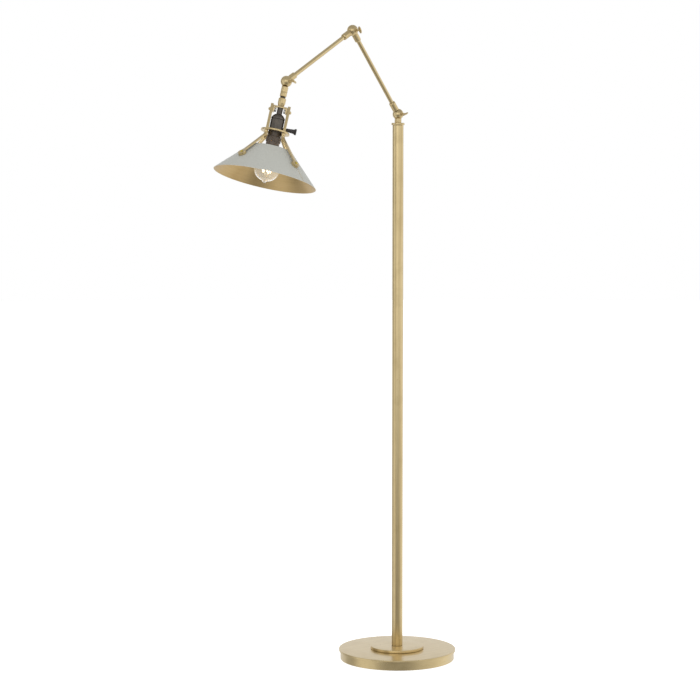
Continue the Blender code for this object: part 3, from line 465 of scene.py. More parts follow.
def combined(first, second, operation):
    """Boolean of two bmeshes, which are both used up."""
    pair = []
    for shape in (first, second):
        mesh = bpy.data.meshes.new("boolean")
        shape.to_mesh(mesh)
        shape.free()
        pair.append(bpy.data.objects.new("boolean", mesh))
        bpy.context.scene.collection.objects.link(pair[-1])
    modifier = pair[0].modifiers.new("Boolean", "BOOLEAN")
    modifier.operation = operation
    modifier.object = pair[1]
    result = bmesh.new()
    result.from_object(pair[0], bpy.context.evaluated_depsgraph_get())
    for made in pair:
        mesh = made.data
        bpy.data.objects.remove(made)
        bpy.data.meshes.remove(mesh)
    return result


def cut(shape, *tools):
    """Takes each tool's volume away from a shape."""
    for tool in tools:
        shape = combined(shape, tool, "DIFFERENCE")
    return shape


def joined(shape, *others):
    """Adds each other shape's volume to a shape."""
    for other in others:
        shape = combined(shape, other, "UNION")
    return shape


def waved(shape, low, high, reach, amount):
    """Moves the outer points between two heights in or out, by a function of their angle."""
    for vert in shape.verts:
        radius = vert.co.to_2d().length
        if low < vert.co.z < high and radius > reach:
            scale = (radius + amount(atan2(vert.co.y, vert.co.x))) / radius
            vert.co.x *= scale
            vert.co.y *= scale
    return shape


def piece(name, shape, place, finish, body, *nodes, slot=None, sharp=32):
    """Finishes a shape as a piece of the lamp: moved to its place, riding on a CAD body. Its slot
    argument is not used."""
    usual_slot, material = FINISHES[finish]
    mesh = bpy.data.meshes.new(name)
    placed(shape, place).to_mesh(mesh)
    shape.free()
    mesh.materials.append(material)
    mesh.shade_smooth()
    mesh.set_sharp_from_angle(angle=radians(sharp))
    made = bpy.data.objects.new(name, mesh)
    bpy.context.scene.collection.objects.link(made)
    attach(made, body)
    slot or usual_slot
    if nodes:
        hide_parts(*nodes)


def wire(points, radius, closed=False, sides=2):
    """A mesh of a round wire along points in millimetres."""
    curve = bpy.data.curves.new("wire", "CURVE")
    curve.dimensions = "3D"
    curve.bevel_depth = radius
    curve.bevel_resolution = sides
    curve.use_fill_caps = True
    spline = curve.splines.new("POLY")
    spline.points.add(len(points) - 1)
    for point, place in zip(spline.points, points):
        point.co = (*place, 1)
    spline.use_cyclic_u = closed
    holder = bpy.data.objects.new("wire", curve)
    bpy.context.scene.collection.objects.link(holder)
    evaluated = holder.evaluated_get(bpy.context.evaluated_depsgraph_get())
    mesh = bpy.data.meshes.new_from_object(evaluated)
    bpy.data.objects.remove(holder)
    bpy.data.curves.remove(curve)
    shape = bmesh.new()
    shape.from_mesh(mesh)
    bpy.data.meshes.remove(mesh)
    return shape


# ---------------------------------------------------------------- finishes


class Value:
    """A shader socket that can be used in sums."""

    def __init__(self, graph, socket):
        self.graph = graph
        self.socket = socket

    def __add__(self, other):
        return self.graph.math("ADD", self, other)

    def __radd__(self, other):
        return self.graph.math("ADD", other, self)

    def __sub__(self, other):
        return self.graph.math("SUBTRACT", self, other)

    def __rsub__(self, other):
        return self.graph.math("SUBTRACT", other, self)

    def __mul__(self, other):
        return self.graph.math("MULTIPLY", self, other)

    def __rmul__(self, other):
        return self.graph.math("MULTIPLY", other, self)


class Graph:
    """The nodes of a material or of the world."""

    def __init__(self, tree):
        self.tree = tree

    def node(self, kind, settings=None, values=None, output=0):
        """Adds a node, sets its settings, then the values or links of its inputs."""
        made = self.tree.nodes.new(kind)
        for setting, value in (settings or {}).items():
            if setting == "stops":
                ramp = made.color_ramp
                ramp.interpolation, stops = value
                while len(ramp.elements) < len(stops):
                    ramp.elements.new(1.0)
                for element, (position, colour) in zip(ramp.elements, stops):
                    element.position = position
                    element.color = (*colour, 1.0)
            else:
                setattr(made, setting, value)
        for socket, value in (values or {}).items():
            self.put(made.inputs[socket], value)
        return Value(self, made.outputs[output])

    def put(self, socket, value):
        """Links a value to a socket, or sets it there."""
        if isinstance(value, Value):
            self.tree.links.new(value.socket, socket)
        else:
            socket.default_value = value

    def math(self, operation, first, second):
        """A sum of two values."""
        return self.node("ShaderNodeMath", {"operation": operation}, {0: first, 1: second})

    def parts(self, vector):
        """The X, Y and Z of a vector."""
        made = self.node("ShaderNodeSeparateXYZ", {}, {0: vector}).socket.node
        return [Value(self, output) for output in made.outputs]

    def stretched(self, vector, scale):
        """The same coordinates, stretched."""
        return self.node("ShaderNodeVectorMath", {"operation": "MULTIPLY"}, {0: vector, 1: scale})

    def noise(self, vector, scale, detail=3.0, rough=0.5):
        """Noise from 0 to 1."""
        values = {"Vector": vector, "Scale": scale, "Detail": detail, "Roughness": rough}
        return self.node("ShaderNodeTexNoise", {}, values)

    def ramp(self, value, *stops, blend="LINEAR"):
        """A colour for each value, from stops of (position, colour)."""
        return self.node("ShaderNodeValToRGB", {"stops": (blend, stops)}, {"Fac": value})

    def mix(self, share, first, second):
        """Mixes two colours."""
        made = self.node("ShaderNodeMix", {"data_type": "RGBA"}, {0: share}, output=2)
        inputs = made.socket.node.inputs
        for socket, value in ((inputs[6], first), (inputs[7], second)):
            self.put(socket, (*value, 1.0) if isinstance(value, tuple) else value)
        return made

    def steps(self, value, low, high):
        """0 below one value, 1 above another, and smooth between."""
        values = {"Value": value, "From Min": low, "From Max": high}
        return self.node("ShaderNodeMapRange", {"interpolation_type": "SMOOTHSTEP"}, values)


class Finish(Graph):
    """A procedural material, with its Principled BSDF."""

    def __init__(self, name, **sockets):
        self.material = bpy.data.materials.new(name)
        self.material.use_nodes = True
        super().__init__(self.material.node_tree)
        self.shader = self.tree.nodes["Principled BSDF"]
        self.set(**sockets)

    def set(self, **sockets):
        """Sets or links the shader's own sockets."""
        for socket, value in sockets.items():
            self.put(self.shader.inputs[socket.replace("_", " ")], value)
        return self.material

    def local(self, place=STAND):
        """Object coordinates in a member's own frame, in metres."""
        values = {"Vector": self.node("ShaderNodeTexCoord", output="Object")}
        values["Location"] = place.to_translation()
        values["Rotation"] = Vector(place.to_euler())
        return self.node("ShaderNodeMapping", {"vector_type": "TEXTURE"}, values)

    def bump(self, height, distance, strength=1.0):
        """Bump from a height between 0 and 1."""
        values = {"Height": height, "Distance": distance, "Strength": strength}
        return self.node("ShaderNodeBump", {}, values, output="Normal")


BRASS = (0.70, 0.55, 0.29)
BRASS_PALE = (0.76, 0.62, 0.345)
BRASS_AGED = (0.52, 0.395, 0.19)
BROAD_MARKS = 0.22  # scale of the broad brush marks against the fine ones


def brushed_brass(name, place, grain, aged=0.35, streak=1.0):
    """Lacquered satin brass, brushed along one axis of its member: grain is the stretch of the
    brush marks along X, Y and Z."""
    finish = Finish(name, Metallic=1.0, Coat_Weight=0.35, Coat_Roughness=0.12)
    place_in_member = finish.local(place)
    fine = finish.noise(finish.stretched(place_in_member, grain), 1.0, 4.0, 0.6)
    wide_grain = tuple(stretch * BROAD_MARKS for stretch in grain)
    broad = finish.noise(finish.stretched(place_in_member, wide_grain), 1.0, 2.0)
    cloud = finish.noise(place_in_member, 26.0, 4.0, 0.62)
    speck = finish.noise(place_in_member, 420.0, 2.0)
    brushed = (broad * 0.5 + fine * 0.5 - 0.5) * streak + 0.5
    tone = finish.ramp(brushed, (0.34, BRASS_AGED), (0.5, BRASS), (0.66, BRASS_PALE))
    colour = finish.mix(finish.steps(cloud, 0.46, 0.72) * aged, tone, BRASS_AGED)
    colour = finish.mix(finish.steps(speck, 0.62, 0.72) * 0.25, colour, BRASS_AGED)
    rough = 0.2 + cloud * 0.12 + fine * 0.08
    normal = finish.bump(fine * 0.7 + speck * 0.3, 0.00003, 0.35)
    return finish.set(Base_Color=colour, Roughness=rough, Normal=normal)


def grained(name, grain, colours, rough, relief, **sockets):
    """A plain finish whose colour, roughness and surface follow one fine grain: its scale,
    detail and roughness, two colours, the roughness and its spread, and the bump's distance
    and strength."""
    finish = Finish(name, **sockets)
    share = finish.noise(finish.local(), *grain)
    return finish.set(
        Base_Color=finish.mix(share, *colours),
        Roughness=rough[0] + share * rough[1],
        Normal=finish.bump(share, *relief),
    )


def zinc_steel():
    """Zinc-plated steel, slightly mottled."""
    finish = Finish("zinc steel", Metallic=1.0)
    place = finish.local()
    flake = finish.node("ShaderNodeTexVoronoi", {}, {"Vector": place, "Scale": 700.0})
    cloud = finish.noise(place, 90.0, 4.0)
    stops = (0.2, (0.46, 0.45, 0.42)), (0.8, (0.66, 0.64, 0.60))
    return finish.set(
        Base_Color=finish.ramp(flake * 0.6 + cloud * 0.5, *stops),
        Roughness=0.26 + cloud * 0.16,
        Normal=finish.bump(flake, 0.00004, 0.5),
    )


def felt():
    """Black felt."""
    finish = Finish("black felt", Sheen_Weight=0.4)
    fibre = finish.noise(finish.stretched(finish.local(), (900, 900, 300)), 1.0, 4.0, 0.7)
    colour = finish.mix(fibre, (0.02, 0.02, 0.022), (0.07, 0.068, 0.065))
    return finish.set(Base_Color=colour, Roughness=0.92, Normal=finish.bump(fibre, 0.0003))


def dark_bronze():
    """Dark bronze, warmer and lighter towards the holder's open end."""
    finish = Finish("dark bronze", Metallic=0.85, Coat_Weight=0.15, Coat_Roughness=0.3)
    place = finish.local(SHADE_HEAD)
    cloud = finish.noise(place, 60.0, 5.0, 0.6)
    fine = finish.noise(finish.stretched(place, (900, 900, 120)), 1.0, 3.0)
    tone = finish.ramp(
        cloud * 0.7 + fine * 0.3,
        (0.3, (0.075, 0.066, 0.058)),
        (0.55, (0.13, 0.115, 0.10)),
        (0.75, (0.20, 0.165, 0.13)),
    )
    warm = finish.steps(finish.parts(place)[2], 0.112, 0.132) * 0.6
    return finish.set(
        Base_Color=finish.mix(warm, tone, (0.15, 0.115, 0.09)),
        Roughness=0.3 + cloud * 0.2,
        Normal=finish.bump(fine, 0.00005, 0.6),
    )


def shade_paint():
    """Pale grey-green enamel outside and bare satin brass inside, told apart by the mesh."""
    finish = Finish("shade enamel and brass")
    inside = finish.node("ShaderNodeAttribute", {"attribute_name": "inside"}, output="Fac")
    place = finish.local(SHADE_HEAD)
    peel = finish.noise(place, 900.0, 2.0)
    cloud = finish.noise(place, 14.0, 3.0)
    spun = finish.noise(finish.stretched(place, (14, 14, 900)), 1.0, 3.0)
    enamel = finish.mix(cloud, (0.43, 0.435, 0.395), (0.475, 0.48, 0.44))
    enamel = finish.mix(finish.steps(peel, 0.6, 0.75) * 0.12, enamel, (0.34, 0.345, 0.31))
    stops = (0.35, (0.54, 0.385, 0.175)), (0.65, (0.66, 0.48, 0.235))
    metal = finish.ramp(spun * 0.5 + cloud * 0.5, *stops)
    rough = (0.36 + peel * 0.12) * (1 - inside) + (0.26 + spun * 0.14) * inside
    height = peel * (1 - inside) + spun * inside
    return finish.set(
        Base_Color=finish.mix(inside, enamel, metal),
        Metallic=inside,
        Roughness=rough,
        Normal=finish.bump(height, 0.00008, 0.5),
    )


def clear_glass():
    """Clear bulb glass with faint unevenness, and a faint warm glow that is a painted sheen."""
    # Its faint warm emission is painted light: a whitish sheen over the envelope, which the glass
    # itself doesn't give.
    finish = Finish("clear glass", Transmission_Weight=1.0, IOR=1.45, Emission_Strength=0.05)
    ripple = finish.noise(finish.local(SHADE_HEAD), 55.0, 2.0)
    return finish.set(
        Emission_Color=(1.0, 0.94, 0.80, 1),
        Base_Color=finish.mix(ripple, (0.985, 0.985, 0.975), (1.0, 1.0, 1.0)),
        Roughness=ripple * 0.02,
        Normal=finish.bump(ripple, 0.0002, 0.3),
    )


def glowing_wire():
    """The filament, lit."""
    finish = Finish("glowing filament", Roughness=0.5, Emission_Strength=7.0)
    flicker = finish.noise(finish.local(), 300.0, 2.0)
    colour = finish.mix(flicker, (1.0, 0.66, 0.30), (1.0, 0.84, 0.55))
    return finish.set(Base_Color=colour, Emission_Color=colour)


YELLOW_BRASS = grained(
    "yellow brass",
    grain=(180.0, 3.0),
    colours=((0.74, 0.56, 0.07), (0.80, 0.66, 0.14)),
    rough=(0.22, 0.16),
    relief=(0.00005, 0.4),
    Metallic=1.0,
)
PAINTED_IRON = grained(
    "painted iron",
    grain=(320.0, 5.0, 0.65),
    colours=((0.025, 0.025, 0.027), (0.075, 0.072, 0.07)),
    rough=(0.6, 0.3),
    relief=(0.0006,),
    Metallic=0.3,
)
MOULDED_RUBBER = grained(
    "moulded rubber",
    grain=(1100.0, 3.0),
    colours=((0.018, 0.018, 0.018), (0.04, 0.04, 0.04)),
    rough=(0.6, 0.25),
    relief=(0.00008,),
)
BLACK_METAL = grained(
    "satin black metal",
    grain=(500.0, 4.0, 0.6),
    colours=((0.018, 0.017, 0.017), (0.06, 0.055, 0.052)),
    rough=(0.3, 0.25),
    relief=(0.00006,),
    Metallic=0.4,
)
PORCELAIN = grained(
    "glazed porcelain",
    grain=(120.0, 3.0),
    colours=((0.72, 0.69, 0.62), (0.84, 0.82, 0.76)),
    rough=(0.2, 0.12),
    relief=(0.0001, 0.4),
    Coat_Weight=0.5,
    Coat_Roughness=0.08,
)

ALONG_Z = (700.0, 700.0, 9.0)
ALONG_X = (9.0, 420.0, 420.0)
SATIN_BRASS = {
    "pole": brushed_brass("brushed brass of the pole", STAND, ALONG_Z),
    "base": brushed_brass("brushed brass of the base", STAND, ALONG_X, 0.08, 0.35),
    "lower": brushed_brass("brushed brass of the lower arm", LOWER_ARM, ALONG_Z),
    "upper": brushed_brass("brushed brass of the upper arm", UPPER_ARM, ALONG_Z),
    "stem": brushed_brass("brushed brass of the stem", SHADE_HEAD, ALONG_Z, 0.1, 0.5),
}

# Each finish's slot and material
FINISHES = {member: ("satin_brass", brass) for member, brass in SATIN_BRASS.items()}
FINISHES.update(
    yellow=("bright_brass", YELLOW_BRASS),
    zinc=("zinc_steel", zinc_steel()),
    iron=("painted_iron", PAINTED_IRON),
    felt=("felt", felt()),
    rubber=("rubber", MOULDED_RUBBER),
    bronze=("dark_bronze", dark_bronze()),
    black=("black_metal", BLACK_METAL),
    porcelain=("porcelain", PORCELAIN),
    shade=("shade_paint", shade_paint()),
    glass=("clear_glass", clear_glass()),
    glow=("filament_wire", glowing_wire()),
)

# CAD nodes whose own shape is shown, by finish
ZINC_NODES = "base_pipe base_washer base_nut pole_foot_plug pole_top_plug swivel_nut socket_nipple"
KEPT_NODES = {
    "iron": ["base_weight"],
    "zinc": ZINC_NODES.split(),
    "porcelain": ["socket_core"],
    "yellow": ["screw_shell", "bulb_base"],
}


def finish_kept_nodes():
    """Gives the CAD nodes that stay their finishes."""
    for finish, names in KEPT_NODES.items():
        for name in names:
            mesh = frame["nodes"][name].data
            mesh.materials.clear()
            mesh.materials.append(FINISHES[finish][1])


# ---------------------------------------------------------------- base and pole


def make_base():
    """The felt pad, the cover with its lip, the step and the cord's bushing."""
    low, high, radius = span("base_pad")
    pad = disc(radius, low, high, LARGE, PAD_SOFT)
    piece("felt_pad", pad, STAND, "felt", "stand", "base_pad")

    low, high, lip = span("base_cover")
    inner = COVER_RADIUS - COVER_WALL
    under = high - COVER_TOP_THICK
    outline = [
        (COVER_RADIUS, low),
        (COVER_RADIUS, high - LIP_THICK),
        (lip, high - LIP_THICK),
        (lip, high),
        (PIPE_HOLE, high),
        (PIPE_HOLE, under),
        (inner, under),
        (inner, low),
    ]
    cover = turned_wall(outline, COVER_SOFT, LARGE, steps=6)
    cord_way = placed(disc(CORD_HOLE, 0, lip, SMALL), outward(COVER_RADIUS / 2, BUSHING_HEIGHT))
    piece("weighted_base_cover", cut(cover, cord_way), STAND, "base", "stand", "base_cover")

    low, high, radius = span("base_step")
    step = tube(radius, PIPE_HOLE, low, high, LARGE, STEP_SOFT, steps=6)
    piece("raised_base_disc", step, STAND, "base", "stand", "base_step")

    inside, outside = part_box("cord_bushing")
    flange = (outside.y - inside.y) / 2 / MM
    start, end = inside.x / MM, outside.x / MM
    seat = end - BUSHING_FLANGE
    outline = [
        (BUSHING_BORE, start),
        (BUSHING_RADIUS, start),
        (BUSHING_RADIUS, seat),
        (flange, seat),
        (flange - BUSHING_CHAMFER, end),
        (BUSHING_BORE, end),
    ]
    bushing = placed(turned_wall(outline, BUSHING_SOFT, SMALL), outward(0, BUSHING_HEIGHT))
    piece("cord_outlet_bushing", bushing, STAND, "rubber", "stand", "cord_bushing")


def make_pole():
    """The pole tube and the rounded collar at its top."""
    low, high, radius = span("pole_tube")
    pole = tube(radius, POLE_BORE, low, high, LARGE, POLE_SOFT)
    piece("brass_pole", pole, STAND, "pole", "stand", "pole_tube")
    low, high, radius = span("pole_collar")
    collar = tube(radius, SPINDLE_HOLE, low, high, LARGE, POLE_COLLAR_SOFT, steps=8)
    piece("pole_end_collar", collar, STAND, "pole", "stand", "pole_collar")


# ---------------------------------------------------------------- joints and arms


def half_ball(neck, side, gap=JOINT_GAP):
    """One half of a ball joint with its neck along +Z. The half that stays is on the given
    side of Y, and the other side is hollowed to clear the other half."""
    meets = degrees(asin(neck[0][0] / BALL))
    surface = arc((0, 0), BALL, -90, 90 - meets, 30)
    surface[0] = (0, -BALL)
    ball = turned(surface + softened(neck, SOFT)[1:])
    hollow = arc((0, 0), BALL + gap, 0, 90, 16)
    hollow[-1] = (0, BALL + gap)
    hollow = turned([(0, 0)] + hollow)
    hollow = placed(hollow, turn_matrix(90 * side, "X"))
    hollow = placed(hollow, move_matrix(0, side * GAP / 2, 0))
    reach = BALL + SLIVER if side < 0 else PIN_DEPTH + GAP
    pin_hole = placed(disc(PIN_RADIUS + GAP, 0, reach, SMALL), turn_matrix(-90 * side, "X"))
    pin_hole = placed(pin_hole, move_matrix(0, -side * GAP, 0))
    return cut(ball, hollow, pin_hole)


def rod_collar(end):
    """The neck of a half ball whose chamfered collar holds an arm's rod."""
    seat = end - ROD_SEAT - GAP
    return [
        (COLLAR_RADIUS, sqrt(BALL**2 - COLLAR_RADIUS**2)),
        (COLLAR_RADIUS, end - COLLAR_CHAMFER[1]),
        (COLLAR_RADIUS - COLLAR_CHAMFER[0], end),
        (ROD_RADIUS + GAP, end),
        (ROD_RADIUS + GAP, seat),
        (0, seat),
    ]


def make_pole_head():
    """The swivelling neck with its half ball."""
    neck = [
        (NECK_RADIUS, sqrt(BALL**2 - NECK_RADIUS**2)),
        (NECK_RADIUS, NECK_LENGTH),
        (SPINDLE_RADIUS, NECK_LENGTH),
        (SPINDLE_RADIUS, NECK_LENGTH + SPINDLE_LENGTH),
        (0, NECK_LENGTH + SPINDLE_LENGTH),
    ]
    head = placed(half_ball(neck, side=-1), turn_matrix(180, "Y"))
    piece("pole_swivel_head", head, HEAD, "pole", "pole_head", "pole_knuckle")


def make_arm(name, place, length, finish):
    """An arm: a half ball at each end and the rod between them."""
    start = half_ball(rod_collar(COLLAR_START_END), side=1)
    end = placed(half_ball(rod_collar(COLLAR_FINISH_END), side=-1), turn_matrix(180, "Y"))
    end = placed(end, move_matrix(0, 0, length))
    rod_low = COLLAR_START_END - ROD_SEAT
    rod_high = length - COLLAR_FINISH_END + ROD_SEAT
    rod = tube(ROD_RADIUS, ROD_BORE, rod_low, rod_high)
    for part, shape in (("start_knuckle", start), ("end_knuckle", end), ("rod", rod)):
        node = f"{name}_{part}"
        piece(f"{node}_brass", shape, place, finish, name, node)


def thumbscrew():
    """A thumbscrew along -Y: its shank crosses the joint, and its oval wing lies on X."""
    shoulder = BALL + GAP
    shoulder_end = shoulder + THUMB_SHOULDER_THICK
    outline = [
        (0, -PIN_DEPTH),
        (PIN_RADIUS, -PIN_DEPTH),
        (PIN_RADIUS, shoulder),
        (THUMB_SHOULDER, shoulder),
        (THUMB_SHOULDER, shoulder_end),
        (PIN_RADIUS, shoulder_end),
        (PIN_RADIUS, WING_CENTRE),
        (0, WING_CENTRE),
    ]
    screw = turned(softened(outline), SMALL)
    half = WING_THICK / 2
    middle, tip = half * WING_MIDDLE, WING_LENGTH / 2
    wing = turned(softened([(0, -middle), (tip, -half), (tip, half), (0, middle)], WING_SOFT))
    wing = placed(wing, Matrix.Diagonal((1, WING_HEIGHT / WING_LENGTH, 1, 1)))
    wing = placed(wing, move_matrix(0, 0, WING_CENTRE) @ turn_matrix(90, "X"))
    return placed(joined(screw, wing), turn_matrix(90, "X"))


def make_thumbscrews():
    """The three thumbscrews, each in the frame of the member that it is threaded into."""
    members = {"pole": (LOWER_ARM, "lower"), "elbow": (UPPER_ARM, "upper"), "shade": (STEM, "stem")}
    for joint, (member_place, finish) in members.items():
        place = member_place @ turn_matrix(THUMB_TURNS[joint], "Y")
        body, node = f"{joint}_thumb", f"{joint}_thumbscrew"
        piece(f"{joint}_wing_screw", thumbscrew(), place, finish, body, node)


# ---------------------------------------------------------------- stem


def make_stem():
    """The shade joint's lower half, the barrel and the dark stud below it."""
    hole = STUD_RADIUS + GAP
    neck = [
        (STEM_RADIUS, sqrt(BALL**2 - STEM_RADIUS**2)),
        (STEM_RADIUS, KNUCKLE_END),
        (hole, KNUCKLE_END),
        (hole, KNUCKLE_SEAT),
        (0, KNUCKLE_SEAT),
    ]
    knuckle = half_ball(neck, 1, STEM_JOINT_GAP)
    piece("stem_ball_knuckle", knuckle, STEM, "stem", "stem", "stem_knuckle")

    outline = [
        (STEM_RADIUS, KNUCKLE_END + GAP),
        (STEM_RADIUS, BARREL_END - BARREL_CHAMFER),
        (STEM_RADIUS - BARREL_CHAMFER, BARREL_END),
        (hole, BARREL_END),
        (hole, KNUCKLE_END + GAP),
    ]
    piece("stem_turned_barrel", turned_wall(outline), STEM, "stem", "stem", "stem_barrel")

    head = CUP_SHELF + GAP
    head_radius, head_thick = STUD_HEAD
    outline = [
        (0, KNUCKLE_SEAT + GAP),
        (STUD_RADIUS, KNUCKLE_SEAT + GAP),
        (STUD_RADIUS, BARREL_END + GAP),
        (STUD_NECK_RADIUS, BARREL_END + GAP),
        (STUD_NECK_RADIUS, CUP_START - GAP),
        (STUD_RADIUS, CUP_START - GAP),
        (STUD_RADIUS, head),
        (head_radius, head),
        (head_radius, head + head_thick),
        (0, head + head_thick),
    ]
    stud = turned(softened(outline, STUD_SOFT))
    piece("swivel_neck", stud, STEM, "black", "stem", "swivel_stud")

    cup_end = PLATE_START - GAP
    outline = [
        (CUP_RADIUS - CUP_CHAMFER[0], CUP_START),
        (CUP_RADIUS, CUP_START + CUP_CHAMFER[1]),
        (CUP_RADIUS, CUP_TAPER_START),
        (CUP_FOOT_RADIUS, cup_end),
        (NIPPLE_HOLE, cup_end),
        (NIPPLE_HOLE, CUP_SHELF),
        (STUD_RADIUS + GAP, CUP_SHELF),
        (STUD_RADIUS + GAP, CUP_START),
    ]
    piece("stem_swivel_cup", turned_wall(outline), SHADE_HEAD, "stem", "shade_head", "swivel_cup")


# ---------------------------------------------------------------- bracket and shade


def on_cone(slant, lift):
    """Puts a piece's +Z along the cone's outward normal, at a distance from its apex."""
    x = slant * sin(CONE) + lift * cos(CONE)
    z = CONE_APEX + slant * cos(CONE) - lift * sin(CONE)
    return move_matrix(x, 0, z) @ Matrix.Rotation(pi / 2 + CONE, 4, "Y")


def flat_bar(outline, width):
    """A bar with eased edges and a width along Y, from its outline of (x, z) points."""
    bar = bmesh.new()
    face = bar.faces.new([bar.verts.new((x, -width / 2, z)) for x, z in outline])
    pushed = bmesh.ops.extrude_face_region(bar, geom=[face])["geom"]
    moved = [item for item in pushed if isinstance(item, bmesh.types.BMVert)]
    bmesh.ops.translate(bar, vec=(0, width, 0), verts=moved)
    bmesh.ops.recalc_face_normals(bar, faces=bar.faces)
    return bevelled(bar, BAR_SOFT)


def bracket_leg():
    """A forked leg. Its upright hangs from the plate and passes down through the ring, and a
    strut runs out to the shade from each end of the shoulder below the ring."""
    half_outline = [
        (LEG_WIDTH / 2, LEG_START),
        (LEG_WIDTH / 2, SHOULDER_START),
        (SHOULDER_REACH, SHOULDER_START),
        (SHOULDER_REACH, SHOULDER_END),
    ]
    upright = flat_bar(half_outline + [(-y, z) for y, z in reversed(half_outline)], LEG_THICK)
    leg = placed(upright, move_matrix(LEG_RADIUS, 0, 0) @ turn_matrix(90, "Z"))
    for angle in STRUT_ANGLES:
        leg = joined(leg, placed(bracket_strut(), turn_matrix(angle, "Z")))
    for radius, height in ((SCREW_HOLE, PLATE_SCREW), (LEG_KEY_HOLE, KEY_CENTRE)):
        hole = disc(radius, -LEG_THICK, LEG_THICK, SMALL)
        leg = cut(leg, placed(hole, outward(LEG_RADIUS, height)))
    return leg


def bracket_strut():
    """A flat bar: down out of the shoulder, then along the cone to an eye."""
    across = Vector((cos(CONE), -sin(CONE)))
    along = Vector((sin(CONE), cos(CONE)))
    end = Vector((0, CONE_APEX)) + along * EYE_SLANT + across * STRUT_LIFT
    corner = end - along * ((end.x - STRUT_RADIUS) / along.x)
    centre = Vector((STRUT_RADIUS + STRUT_BEND, corner.y - STRUT_BEND * tan(CONE / 2)))
    half = BAR_THICK / 2
    bend = [180 - degrees(CONE) * step / BEND_STEPS for step in range(BEND_STEPS + 1)]
    outline = [Vector((STRUT_RADIUS + side * half, STRUT_START)) for side in (1, -1)]
    for side in (-1, 1):
        radius = STRUT_BEND - side * half
        edge = [centre + radius * Vector((cos(radians(a)), sin(radians(a)))) for a in bend]
        edge.append(end + across * side * half)
        outline += edge if side < 0 else reversed(edge)
    eye = placed(disc(EYE_RADIUS, -half, half, soft=EYE_SOFT), on_cone(EYE_SLANT, STRUT_LIFT))
    hole = placed(disc(SCREW_HOLE, -BAR_THICK, BAR_THICK, SMALL), on_cone(EYE_SLANT, STRUT_LIFT))
    return cut(joined(flat_bar(outline, BAR_WIDTH), eye), hole)


def bracket_plate():
    """A strap whose two ends are bent down inside the legs."""
    half_outline = [
        (TAB_OUTSIDE, PLATE_START),
        (TAB_OUTSIDE, TAB_END),
        (TAB_INSIDE, TAB_END),
        (TAB_INSIDE, PLATE_END),
    ]
    plate = flat_bar(half_outline + [(-x, z) for x, z in reversed(half_outline)], STRAP_WIDTH)
    for angle in (0, 180):
        hole = disc(SCREW_HOLE, -TAB_THICK - SLIVER, SLIVER, SMALL)
        place = turn_matrix(angle, "Z") @ outward(TAB_OUTSIDE, PLATE_SCREW)
        plate = cut(plate, placed(hole, place))
    plate = placed(plate, turn_matrix(LEG_ANGLES[0], "Z"))
    return cut(plate, disc(NIPPLE_HOLE, PLATE_START - SLIVER, PLATE_END + SLIVER, SMALL))


def bracket_ring():
    """A flat ring with a slot for each leg."""
    low, high = RING_CENTRE - RING_THICK / 2, RING_CENTRE + RING_THICK / 2
    ring = tube(RING_RADIUS, RING_BORE, low, high, LARGE, RING_SOFT)
    half = LEG_WIDTH / 2 + GAP
    for angle in LEG_ANGLES:
        slot = block((0, -half, low - SLIVER), (LEG_OUTSIDE + GAP, half, high + SLIVER))
        ring = cut(ring, placed(slot, turn_matrix(angle, "Z")))
    return ring


def pan_screw(head, grip):
    """A slotted round-head screw: its head stands above Z = 0 and its shank reaches down."""
    radius, height = head
    dome_radius = (radius**2 + height**2) / (2 * height)
    spread = degrees(acos(1 - height / dome_radius))
    dome = arc((0, height - dome_radius), dome_radius, 90 - spread, 90, 10)
    dome[-1] = (0, height)
    screw = turned([(0, -grip), (SCREW_RADIUS, -grip), (SCREW_RADIUS, 0)] + dome, SMALL)
    half, floor = radius * SCREW_SLOT[0], height * SCREW_SLOT[1]
    reach = radius + SLIVER
    return cut(screw, block((-reach, -half, floor), (reach, half, height + SLIVER)))


def hexagon_nut(size):
    """A chamfered hexagon nut that hangs below Z = 0."""
    width, thick = size
    across = width / 2 / cos(pi / 6)
    nut = disc(across, -thick, 0, 6)
    chamfer = [(0, -thick), (width / 2, -thick), (across, NUT_CHAMFER - thick)]
    chamfer += [(across, -NUT_CHAMFER), (width / 2, 0), (0, 0)]
    nut = combined(nut, turned(chamfer), "INTERSECT")
    return cut(nut, disc(SCREW_HOLE, -thick - SLIVER, SLIVER, SMALL))


